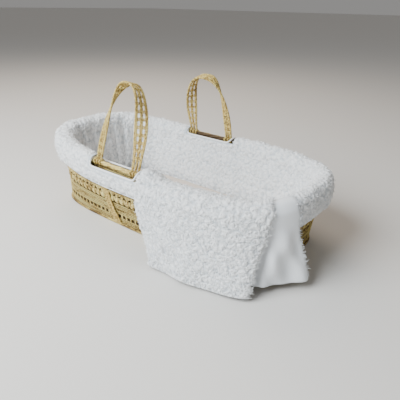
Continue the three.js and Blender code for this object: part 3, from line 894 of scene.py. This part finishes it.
def soft_noise(run, rise, size, seed, around=None):
    """Smooth noise from 0 to 1 with lumps of a size; around closes the run on itself."""
    columns = max(3, round((around or OPEN_RUN) / size))
    table = np.random.default_rng(seed).random((columns, 512))
    x, y = run * columns / (around or OPEN_RUN), rise / size
    c, r = np.floor(x).astype(int), np.floor(y).astype(int)
    tx, ty = soft_step(x - c, 0, 1), soft_step(y - r, 0, 1)

    def pick(dc, dr):
        return table[np.mod(c + dc, columns), np.mod(r + dr, 512)]

    low = pick(0, 0) * (1 - tx) + pick(1, 0) * tx
    high = pick(0, 1) * (1 - tx) + pick(1, 1) * tx
    return low * (1 - ty) + high * ty


def rosettes(run, rise, size, seed, around=None):
    """The height, from 0 to 1, of swirled roses on flat cloth; around closes the run on itself."""
    columns = max(3, round((around or OPEN_RUN) / size))
    width = (around or OPEN_RUN) / columns
    depth = size * 0.87
    table = np.random.default_rng(seed).random((columns, 256, 4))
    pushed_run = run + size * 0.55 * (soft_noise(run, rise, size * 0.55, seed + 1, around) - 0.5)
    pushed_rise = rise + size * 0.55 * (soft_noise(run, rise, size * 0.55, seed + 2, around) - 0.5)
    column = np.floor(pushed_run / width).astype(int)
    row = np.floor(pushed_rise / depth).astype(int)
    nearest = np.full(run.shape, 9.0)
    second = np.full(run.shape, 9.0)
    angle = np.zeros(run.shape)
    lift = np.zeros(run.shape)
    for dr in (-1, 0, 1):
        for dc in (-1, 0, 1):
            c, r = column + dc, row + dr
            pick = table[np.mod(c, columns), np.mod(r, 256)]
            x = (c + 0.5 + 0.5 * np.mod(r, 2) - 0.25 + 0.7 * (pick[..., 0] - 0.5)) * width
            y = (r + 0.5 + 0.7 * (pick[..., 1] - 0.5)) * depth
            away = np.hypot(pushed_run - x, pushed_rise - y)
            closer = away < nearest
            second = np.where(closer, nearest, np.minimum(second, away))
            spin = np.arctan2(pushed_rise - y, pushed_run - x) + 2 * math.pi * pick[..., 2]
            angle = np.where(closer, spin, angle)
            lift = np.where(closer, pick[..., 3], lift)
            nearest = np.where(closer, away, nearest)
    reach = nearest / (0.5 * size)
    edge = soft_step(second - nearest, -0.06 * size, 0.30 * size)
    swirl = 0.5 + 0.5 * np.cos(angle - 6.0 * reach)
    dome = np.clip(1 - 0.34 * reach ** 2, 0, 1)
    curls = soft_noise(run, rise, size * 0.30, seed + 3, around)
    roses = edge * dome * (0.48 + 0.52 * swirl) * (0.75 + 0.35 * lift)
    return np.clip(0.68 * roses + 0.38 * curls, 0, 1)


def grid_piece(name, columns, rows):
    bpy.ops.mesh.primitive_grid_add(x_subdivisions=columns - 1, y_subdivisions=rows - 1, size=1)
    piece = bpy.context.object
    piece.name = name
    piece.data.name = name
    return piece


def smooth_rows(knots, rows):
    """Rows of points on a smooth curve through knots of shape (knots, stations, 3)."""
    chord = np.linalg.norm(np.diff(knots, axis=0), axis=2).mean(axis=1)
    marks = np.concatenate([[0], np.cumsum(chord)])
    places = np.linspace(0, marks[-1], rows)
    slopes = np.gradient(knots, marks, axis=0)
    k = np.clip(np.searchsorted(marks, places, side="right") - 1, 0, len(marks) - 2)
    span = (marks[k + 1] - marks[k])[:, None, None]
    t = ((places - marks[k]) / (marks[k + 1] - marks[k]))[:, None, None]
    points = (
        (2 * t**3 - 3 * t**2 + 1) * knots[k]
        + (t**3 - 2 * t**2 + t) * span * slopes[k]
        + (3 * t**2 - 2 * t**3) * knots[k + 1]
        + (t**3 - t**2) * span * slopes[k + 1]
    )
    return points, places


def grid_normals(points, closed):
    if closed:
        du = np.roll(points, -1, axis=1) - np.roll(points, 1, axis=1)
    else:
        du = np.gradient(points, axis=1)
    normal = np.cross(du, np.gradient(points, axis=0))
    return normal / np.maximum(np.linalg.norm(normal, axis=2, keepdims=True), 1e-12)


# ---------------------------------------------------------------- plush liner
# One padded piece of rosette plush lines the inside, rolls over the rim and hangs outside as a
# skirt with an elastic hem. It is cut open at each handle, where the straw shows.
LINER_COLUMNS = 960
LINER_ROWS = 165
ROSE = 0.0185
RELIEF = 0.0066
HEAD_FULLNESS = 0.010
PRESSED_BY_BLANKET = 0.0075
PRESSED_START = (0.054, 0.088)
PRESSED_END = (0.44, 0.49)
SLOT_HALF = 0.0930
SLOT_FIRST_KNOT = 5.35
SLOT_LAST_KNOT = 11.0

full = HEAD_FULLNESS * soft_step(-rim_line[:, 0], 0.24, 0.36)
under_blanket = soft_step(past_front, *PRESSED_START) * (1 - soft_step(past_front, *PRESSED_END))


def liner_ring(out, up):
    fuller = full * soft_step(np.array(out), -0.012, 0.010)
    pressed = PRESSED_BY_BLANKET * under_blanket * soft_step(np.array(up), -0.012, 0.015)
    return ring_at(rim_line + rim_out * (out + fuller)[:, None], rim_height + up - pressed)


knots = np.array([
    wall_ring_at(0.012, -0.028),
    wall_ring_at(0.050, -0.0355),
    wall_ring_at(0.092, -0.0345),
    wall_ring_at(0.133, -0.0315),
    liner_ring(-0.0285, -0.022),
    liner_ring(-0.0255, 0.001),
    liner_ring(-0.0200, 0.0125),
    liner_ring(-0.0105, 0.0195),
    liner_ring(0.0, 0.0215),
    liner_ring(0.0095, 0.0190),
    liner_ring(0.0170, 0.0105),
    liner_ring(0.0205, -0.0040),
    liner_ring(0.0210, -0.0240),
    liner_ring(0.0190, -0.0410),
    liner_ring(0.0140, -0.0520),
    liner_ring(0.0095, -0.0540),
    liner_ring(0.0085, -0.0460),
])

column_run = np.linspace(0, rim_length, LINER_COLUMNS + 1)[:-1]


def at_columns(line):
    closed_line = np.concatenate([line, line[..., :1, :]], axis=-2)
    flat_line = closed_line.reshape(-1, STATIONS + 1, 3)
    out = np.empty((len(flat_line), LINER_COLUMNS, 3))
    for j, one in enumerate(flat_line):
        for k in range(3):
            out[j, :, k] = np.interp(column_run, rim_marks, one[:, k])
    return out


liner_knots = at_columns(knots)
liner_points, liner_rise = smooth_rows(liner_knots, LINER_ROWS)
knot_marks = np.concatenate(
    [[0], np.cumsum(np.linalg.norm(np.diff(liner_knots, axis=0), axis=2).mean(axis=1))]
)
slot_from = np.interp(SLOT_FIRST_KNOT, np.arange(len(knots)), knot_marks)
slot_to = np.interp(SLOT_LAST_KNOT, np.arange(len(knots)), knot_marks)

run_grid, rise_grid = np.meshgrid(column_run, liner_rise)
base_x = liner_points[..., 0]
handle_x = joints["front_handle_fold"]["pos_m"][0]
from_slot = np.hypot(
    np.maximum(np.abs(base_x - handle_x) - SLOT_HALF, 0),
    np.maximum(np.maximum(slot_from - rise_grid, rise_grid - slot_to), 0),
)
from_hem = knot_marks[14] - rise_grid
liner_relief = rosettes(run_grid, rise_grid, ROSE, 11, rim_length)
calm = soft_step(from_slot, 0.0005, 0.012) * (0.35 + 0.65 * soft_step(from_hem, -0.004, 0.010))
round_rim = 2 * math.pi * run_grid / rim_length
lumps = 0.0011 * (
    np.sin(31 * round_rim + 3 * np.sin(rise_grid * 30)) + np.sin(17 * round_rim - rise_grid * 24 + 1)
)
at_hem = soft_step(rise_grid, knot_marks[12], knot_marks[14])
at_head = soft_step(-base_x, 0.22, 0.34) * soft_step(knot_marks[6] - rise_grid, 0.0, 0.05)
gathers = 0.0016 * at_hem * np.sin(74 * round_rim)
gathers += 0.0030 * at_head * np.sin(44 * round_rim + 2 * np.sin(rise_grid * 20))
grain = np.random.default_rng(3).normal(0, 0.00022, run_grid.shape)
push = (liner_relief * RELIEF - 0.0012 + lumps + grain) * calm + gathers
liner_normals = grid_normals(liner_points, closed=True)
if liner_normals[LINER_ROWS // 2, :, 2].mean() < 0:
    liner_normals = -liner_normals
liner_surface = liner_points + liner_normals * push[..., None]

liner = grid_piece("plush_liner", LINER_COLUMNS + 1, LINER_ROWS)
closed_surface = np.concatenate([liner_surface, liner_surface[:, :1]], axis=1)
move_vertices(liner, closed_surface.reshape(-1, 3))
liner_tips = liner_relief * calm
# the relief's height, which the plush material turns into painted shade in the creases
keep_value(liner, "pile", np.concatenate([liner_tips, liner_tips[:, :1]], axis=1))

rows_in = np.where((liner_rise > slot_from) & (liner_rise < slot_to))[0]
cut_rows = (rows_in[0], rows_in[-1])
only_select([liner])
bpy.ops.object.mode_set(mode="EDIT")
bpy.ops.mesh.select_mode(type="FACE")
bpy.ops.mesh.select_all(action="DESELECT")
bpy.ops.object.mode_set(mode="OBJECT")
face_row, face_column = np.divmod(np.arange(len(liner.data.polygons)), LINER_COLUMNS)
column_x = np.append(base_x[0], base_x[0, 0])
face_x = (column_x[face_column] + column_x[face_column + 1]) / 2
open_face = (
    (face_row >= cut_rows[0]) & (face_row < cut_rows[1]) & (np.abs(face_x - handle_x) < SLOT_HALF)
)
liner.data.polygons.foreach_set("select", open_face)
bpy.ops.object.mode_set(mode="EDIT")
bpy.ops.mesh.delete(type="FACE")
bpy.ops.mesh.select_mode(type="VERT")
bpy.ops.mesh.select_all(action="SELECT")
bpy.ops.mesh.remove_doubles(threshold=1e-6)
bpy.ops.object.mode_set(mode="OBJECT")
dressed(liner, plush_outside, "basket", ["liner_wall", "liner_skirt"])


# ---------------------------------------------------------------- tufts of the liner's pile
# The longest of the pile stands out of the roses in small curled tufts. They are the liner's
# own fibres, so they are in one piece of their own that moves with it.
def pile_tufts(name, surface, normals, allowed, count, seed):
    dice = np.random.default_rng(seed)
    chosen = dice.choice(np.flatnonzero(allowed), count, replace=False)
    foot = surface.reshape(-1, 3)[chosen]
    up = normals.reshape(-1, 3)[chosen]
    lean = dice.normal(0, 1, (count, 3))
    lean -= up * (lean * up).sum(axis=1, keepdims=True)
    lean /= np.linalg.norm(lean, axis=1, keepdims=True)
    reach = dice.uniform(0.6, 1.25, (count, 1))
    path = np.stack([
        foot - up * 0.0012,
        foot + up * 0.0016 * reach + lean * 0.0012 * reach,
        foot + up * 0.0026 * reach + lean * 0.0038 * reach,
    ], axis=1)
    path[..., 2] = np.maximum(path[..., 2], 0.0012)
    tufts = tubes(list(path), 0.00062, name, resolution=0)
    keep_value(tufts, "pile", np.full(len(tufts.data.vertices), 0.9))
    return tufts


on_liner = (from_slot > 0.010) & (rise_grid > knot_marks[2]) & (rise_grid < knot_marks[13])
liner_pile = pile_tufts("liner_pile", liner_surface, liner_normals, on_liner, 8500, 51)
dressed(liner_pile, plush_outside, "basket")


# ---------------------------------------------------------------- hem elastic
# A round elastic lies in the turned-up hem of the skirt, and draws it in under the rim all
# the way round.
elastic_line = at_columns(liner_ring(0.0105, -0.0575)[None])[0][::3]
elastic = tubes([elastic_line], 0.0021, "hem_elastic", closed=True)
dressed(elastic, binding_cloth, "basket", ["skirt_elastic"])


# ---------------------------------------------------------------- liner floor
# The liner has a floor of plain thin cotton, cut to the shape of the base and laid flat on it
# under the mattress.
FLOOR_COLUMNS = 141
FLOOR_ROWS = 71
floor_low, floor_high = (np.array(corner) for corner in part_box("liner_floor"))
floor_middle = (floor_low + floor_high) / 2
floor_reach = (floor_high - floor_low) / 2
square_x, square_y = np.meshgrid(np.linspace(-1, 1, FLOOR_COLUMNS), np.linspace(-1, 1, FLOOR_ROWS))
from_middle = np.maximum(np.abs(square_x), np.abs(square_y))
turn = np.arctan2(square_y, square_x)
cut = (np.abs(np.cos(turn)) ** BASE_POWER + np.abs(np.sin(turn)) ** BASE_POWER) ** (-1 / BASE_POWER)
floor_x = floor_middle[0] + floor_reach[0] * from_middle * cut * np.cos(turn)
floor_y = floor_middle[1] + floor_reach[1] * from_middle * cut * np.sin(turn)
creases = 0.0003 * np.sin(floor_x * 48 + 3 * np.sin(floor_y * 21)) * np.sin(floor_y * 60)
floor_z = floor_high[2] - 0.0008 + creases
floor_cloth = grid_piece("liner_floor_cloth", FLOOR_COLUMNS, FLOOR_ROWS)
move_vertices(floor_cloth, np.stack([floor_x, floor_y, floor_z], axis=2).reshape(-1, 3))
thicken(floor_cloth, 0.0006, offset=-1)
dressed(floor_cloth, binding_cloth, "basket", ["liner_floor"])


# ---------------------------------------------------------------- slot bindings
# A strip of smooth bias binding is folded over the cut edge of the liner all round each slot.
# It is sewn through the liner, and keeps the opening flat where the handle's feet fold over it.
BINDING_RADIUS = 0.0028
CORNER = 0.006


def slot_binding(end):
    side = -1 if end == "front" else 1
    hinge = np.array(joints[f"{end}_handle_fold"]["pos_m"])
    span = SLOT_HALF + 0.0005
    side_x = np.linspace(-span + CORNER, span - CORNER, 34)
    across = [
        (0.0205, -0.0070), (0.0175, 0.0030), (0.0105, 0.0115), (0.0, 0.0145), (-0.0105, 0.0120),
        (-0.0185, 0.0060),
    ]
    middle = [(x, 0.0208, -0.0098) for x in side_x]
    right = [(span, out, up) for out, up in across]
    inside = [(x, -0.0232, -0.0022) for x in side_x[::-1]]
    left = [(-span, out, up) for out, up in across[::-1]]
    route = np.array(middle + right + inside + left)
    for _ in range(3):
        route = (np.roll(route, 1, axis=0) + 2 * route + np.roll(route, -1, axis=0)) / 4
    line = np.column_stack([
        hinge[0] + route[:, 0],
        hinge[1] + side * route[:, 1],
        hinge[2] + route[:, 2] - 0.0006,
    ])
    binding = tubes([line], BINDING_RADIUS, f"{end}_slot_edge", resolution=3, closed=True)
    return dressed(binding, binding_cloth, "basket", [f"{end}_slot_binding"])


for end in ("front", "rear"):
    slot_binding(end)


# ---------------------------------------------------------------- mattress
# A foam pad in ticking under a fitted sheet of smooth cream cotton, slightly crowned, pulled
# round at its edges and turned in underneath.
PRESSURE = 4.0
SWELL = 0.006


def mattress_shape(node, name, shrink, voxel):
    source = frame["nodes"][node]
    pad = source.copy()
    pad.data = source.data.copy()
    bpy.context.scene.collection.objects.link(pad)
    pad.hide_render = False
    pad.hide_viewport = False
    pad.parent = None
    pad.name = name
    pad.data.name = name
    for key in list(pad.keys()):
        del pad[key]
    edit_all(pad, WELD)
    points = vertices_of(pad)
    middle = (points.max(axis=0) + points.min(axis=0)) / 2
    reach = (points.max(axis=0) - points.min(axis=0)) / 2
    move_vertices(pad, middle + (points - middle) * (1 - shrink / reach))
    remesh = pad.modifiers.new("remesh", "REMESH")
    remesh.mode = "VOXEL"
    remesh.voxel_size = voxel
    only_select([pad])
    bpy.ops.object.modifier_apply(modifier="remesh")
    return pad


def inflate(pad, pressure, cap):
    rest = vertices_of(pad)
    cloth = pad.modifiers.new("cloth", "CLOTH")
    cloth.settings.use_pressure = True
    cloth.settings.uniform_pressure_force = pressure
    cloth.settings.effector_weights.gravity = 0
    cloth.settings.quality = 5
    scene = bpy.context.scene
    for step in range(1, 21):
        scene.frame_set(step)
    depsgraph = bpy.context.evaluated_depsgraph_get()
    swollen = pad.evaluated_get(depsgraph)
    shape = np.empty(len(swollen.data.vertices) * 3)
    swollen.data.vertices.foreach_get("co", shape)
    move = shape.reshape(-1, 3) - rest
    far = np.linalg.norm(move, axis=1, keepdims=True)
    pad.modifiers.remove(cloth)
    scene.frame_set(1)
    move_vertices(pad, rest + move * np.minimum(1, cap / np.maximum(far, 1e-9)))


mattress = mattress_shape("mattress_core", "mattress_sheet_top", 0.0022, 0.006)
inflate(mattress, PRESSURE, SWELL)
finer = mattress.modifiers.new("finer", "SUBSURF")
finer.levels = 1
finer.render_levels = 1
only_select([mattress])
bpy.ops.object.modifier_apply(modifier="finer")
points = vertices_of(mattress)
on_top = soft_step(points[:, 2], 0.03, 0.045)
ripple = 0.0006 * on_top * np.sin(points[:, 0] * 62 + 2.5 * np.sin(points[:, 1] * 23))
sheet_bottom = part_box("mattress_sheet")[0].z
points[:, 2] = np.maximum(points[:, 2] + ripple, sheet_bottom + 0.0004)
move_vertices(mattress, points)
dressed(mattress, sheet_cloth, "mattress", ["mattress_core", "mattress_sheet"])


# ---------------------------------------------------------------- blanket
# A small blanket of rosette plush backed with white satin, folded once across so that the
# plush is outside, and hung over the rim; the back half sticks out and shows its satin.
BLANKET_LEFT_TOP = 0.062
BLANKET_LEFT_FLOOR = 0.138
BLANKET_FRONT_TOP = 0.402
BLANKET_FRONT_FLOOR = 0.362
BLANKET_BACK_TOP = 0.454
BLANKET_BACK_FLOOR = 0.464
BLANKET_INNER_EDGE = 0.130
FOLD_LIFT = 0.0056
FRONT_HALF_LIFTED = (BLANKET_FRONT_FLOOR - 0.010, BLANKET_FRONT_TOP + 0.020)
BACK_HALF_LIFTED = (0.250, 0.360)


def mix(a, b, share):
    return a + (b - a) * share


def drape_knots(run, lifted):
    """The way down the cloth, from inside the rim to the floor, at places along the rim."""
    marks = front_run + run
    plan = np.column_stack([np.interp(marks, rim_marks[:-1], rim_line[:, k]) for k in range(2)])
    out_way = np.column_stack([np.interp(marks, rim_marks[:-1], rim_out[:, k]) for k in range(2)])
    top = np.interp(marks, rim_marks[:-1], rim_height)
    spread = mix(0.066, 0.084, soft_step(run, BLANKET_LEFT_TOP, BLANKET_FRONT_TOP))
    past = soft_step(run, *lifted)
    spread = spread - 0.036 * past
    ground = mix(0.0045, 0.018, past)
    over = [
        (-0.041, -0.038), (-0.0335, -0.012), (-0.0285, 0.006), (-0.022, 0.017), (-0.012, 0.024),
        (0.0, 0.0265), (0.011, 0.024), (0.020, 0.015), (0.0248, 0.004), (0.026, -0.008),
    ]
    rows = [
        (out + 0 * run, top + up - PRESSED_BY_BLANKET * soft_step(np.array(up), -0.012, 0.015))
        for out, up in over
    ]
    rows.insert(0, (-0.047 + 0 * run, BLANKET_INNER_EDGE + 0 * run))
    rows += [
        (mix(spread, 0.026, k) - 0.0045 * math.sin(math.pi * k), mix(ground, top - 0.008, k))
        for k in (0.8, 0.6, 0.4, 0.2, 0.0)
    ]
    return plan, out_way, rows


def folded_cloth(turn, columns, rows):
    """The cloth of one ply, from the edge of the front half round the fold to the back edge."""
    share = np.linspace(0, 1, rows)
    down = soft_step(share, 0.52, 1.0)
    ragged = 0.004 * (soft_noise(share * 0.45, 0 * share, 0.011, 31) - 0.5)
    left = mix(BLANKET_LEFT_TOP, BLANKET_LEFT_FLOOR, down)
    front = mix(BLANKET_FRONT_TOP, BLANKET_FRONT_FLOOR, soft_step(share, 0.24, 1.0)) + ragged
    back = mix(BLANKET_BACK_TOP, BLANKET_BACK_FLOOR, down) - ragged
    bend = math.pi * turn
    total = BLANKET_FRONT_TOP + BLANKET_BACK_TOP - 2 * BLANKET_LEFT_TOP + bend
    flat_run = np.linspace(0, total, columns)
    first = BLANKET_FRONT_TOP - BLANKET_LEFT_TOP
    on_front = flat_run <= first
    on_bend = (flat_run > first) & (flat_run < first + bend)
    on_back = flat_run >= first + bend
    run = np.empty((rows, columns))
    lift = np.empty((rows, columns))
    for r in range(rows):
        run[r, on_front] = mix(front[r], left[r], flat_run[on_front] / first)
        lift[r, on_front] = FOLD_LIFT + turn
        angle = (flat_run[on_bend] - first) / max(turn, 1e-6)
        run[r, on_bend] = left[r] - turn * np.sin(angle)
        lift[r, on_bend] = FOLD_LIFT + turn * np.cos(angle)
        beyond = (flat_run[on_back] - first - bend) / (total - first - bend)
        run[r, on_back] = mix(left[r], back[r], beyond)
        lift[r, on_back] = FOLD_LIFT - turn
    lookup = np.linspace(BLANKET_LEFT_TOP - 0.02, BLANKET_BACK_FLOOR + 0.02, 300)
    halves = []
    for lifted in (FRONT_HALF_LIFTED, BACK_HALF_LIFTED):
        plan, out_way, knots_here = drape_knots(lookup, lifted)
        stack = np.array([
            np.column_stack([plan + out_way * out[:, None], up]) for out, up in knots_here
        ])
        table, _ = smooth_rows(stack, rows)
        ways = np.cross(np.gradient(table, axis=1), np.gradient(table, axis=0))
        ways /= np.linalg.norm(ways, axis=2, keepdims=True)
        if ways[-1, 0, 1] > 0:
            ways = -ways
        here = np.empty((rows, columns, 6))
        for r in range(rows):
            for k in range(3):
                here[r, :, k] = np.interp(run[r], lookup, table[r, :, k])
                here[r, :, k + 3] = np.interp(run[r], lookup, ways[r, :, k])
        halves.append(here)
    front_share = ((lift - FOLD_LIFT) / (2 * turn) + 0.5)[..., None]
    both = halves[0] * front_share + halves[1] * (1 - front_share)
    points, normals = both[..., :3], both[..., 3:]
    waves = 0.0045 * down[:, None] ** 2 * np.sin(run * 55 + 1.2) * soft_step(run, 0.10, 0.20)
    points += normals * (lift + waves)[..., None]
    return SimpleNamespace(
        points=points, ways=normals, run=run, lift=lift, flat=flat_run, share=share, width=total
    )


def cloth_length(points):
    return float(np.linalg.norm(np.diff(points, axis=0), axis=2).sum(axis=0).mean())


PLUSH_COLUMNS = 400
PLUSH_ROWS = 190
PLUSH_TURN = 0.0046
BLANKET_RELIEF = 0.0056
plush = folded_cloth(PLUSH_TURN, PLUSH_COLUMNS, PLUSH_ROWS)
plush_long = cloth_length(plush.points)
flat_x, flat_y = np.meshgrid(plush.flat, plush.share * plush_long)
plush_relief = rosettes(flat_x, flat_y, ROSE, 23)
edge_gap = np.minimum.reduce([flat_x, plush.width - flat_x, plush_long - flat_y, flat_y])
edge_wave = (np.random.default_rng(5).random(flat_x.shape) - 0.5) * 0.0012
facing = np.cross(np.gradient(plush.points, axis=0), np.gradient(plush.points, axis=1))
facing /= np.maximum(np.linalg.norm(facing, axis=2, keepdims=True), 1e-12)
if (facing[PLUSH_ROWS - 20, 20] @ plush.ways[PLUSH_ROWS - 20, 20]) < 0:
    facing = -facing
hidden_side = soft_step(FOLD_LIFT - plush.lift, 0.0, PLUSH_TURN)
amount = BLANKET_RELIEF * (1 - 0.75 * hidden_side) * soft_step(edge_gap, -0.004, 0.006)
plush_surface = plush.points + facing * (plush_relief * amount + edge_wave)[..., None]
plush_surface[..., 2] = np.maximum(plush_surface[..., 2], 0.0022)

blanket = grid_piece("blanket_cover", PLUSH_COLUMNS, PLUSH_ROWS)
move_vertices(blanket, plush_surface.reshape(-1, 3))
# the relief's height, which the plush material turns into painted shade in the creases
keep_value(blanket, "pile", plush_relief)
thicken(blanket, 0.0018, offset=-1)
dressed(blanket, plush_outside, "blanket", ["blanket_plush"])

SATIN_COLUMNS = 150
SATIN_ROWS = 90
SATIN_TURN = 0.0018
backing = folded_cloth(SATIN_TURN, SATIN_COLUMNS, SATIN_ROWS)
down_satin = backing.share[:, None]
free_edge = mix(BLANKET_FRONT_TOP, BLANKET_FRONT_FLOOR, soft_step(down_satin, 0.24, 1.0))
on_show = soft_step(backing.run - free_edge, -0.004, 0.030) * (backing.lift < FOLD_LIFT)
broad_folds = 1 + np.sin(backing.run * 95 + down_satin * 9)
small_folds = 1 + np.sin(backing.run * 170 - down_satin * 14 + 1)
folds = 0.0056 * broad_folds * soft_step(down_satin, 0.45, 0.75)
folds += 0.0032 * small_folds * soft_step(down_satin, 0.4, 0.8)
satin_surface = backing.points + backing.ways * (folds * on_show)[..., None]
lining = grid_piece("blanket_lining", SATIN_COLUMNS, SATIN_ROWS)
move_vertices(lining, satin_surface.reshape(-1, 3))
thicken(lining, 0.0005)
dressed(lining, satin, "blanket", ["blanket_satin"])


# ---------------------------------------------------------------- loose threads and tufts
# Threads stand out from the unsewn edges of the plush and of its lining, and the longest of
# the pile from the face of the plush. They hang on the blanket and go where it goes.
def loose_threads(name, edge, inward, count, seed):
    dice = np.random.default_rng(seed)
    steps = np.concatenate([[0], np.cumsum(np.linalg.norm(np.diff(edge, axis=0), axis=1))])
    lines = []
    for place in dice.uniform(0.1 * steps[-1], steps[-1], count):
        start = np.array([np.interp(place, steps, edge[:, k]) for k in range(3)])
        back = np.array([np.interp(place, steps, inward[:, k]) for k in range(3)])
        out = (start - back) / np.linalg.norm(start - back)
        side = dice.normal(0, 0.5, 3)
        reach = dice.uniform(0.002, 0.006)
        lines.append(np.array([
            start - out * 0.003,
            start + out * reach * 0.4 + side * reach * 0.12,
            start + out * reach * 0.8 + side * reach * 0.45,
            start + out * reach * 0.95 + side * reach * 0.9,
        ]))
    threads = tubes(lines, 0.00045, name, resolution=0)
    points = vertices_of(threads)
    points[:, 2] = np.maximum(points[:, 2], 0.001)
    move_vertices(threads, points)
    return threads


cover_threads = loose_threads("cover_threads", plush_surface[:, 0], plush_surface[:, 3], 420, 41)
keep_value(cover_threads, "pile", np.ones(len(cover_threads.data.vertices)))
dressed(cover_threads, plush_outside, "blanket")
on_top = (hidden_side < 0.5) & (edge_gap > 0.004)
cover_pile = pile_tufts("cover_pile", plush_surface, facing, on_top, 5200, 52)
dressed(cover_pile, plush_outside, "blanket")
lining_threads = loose_threads("lining_threads", satin_surface[:, -1], satin_surface[:, -3], 260, 42)
dressed(lining_threads, satin, "blanket")
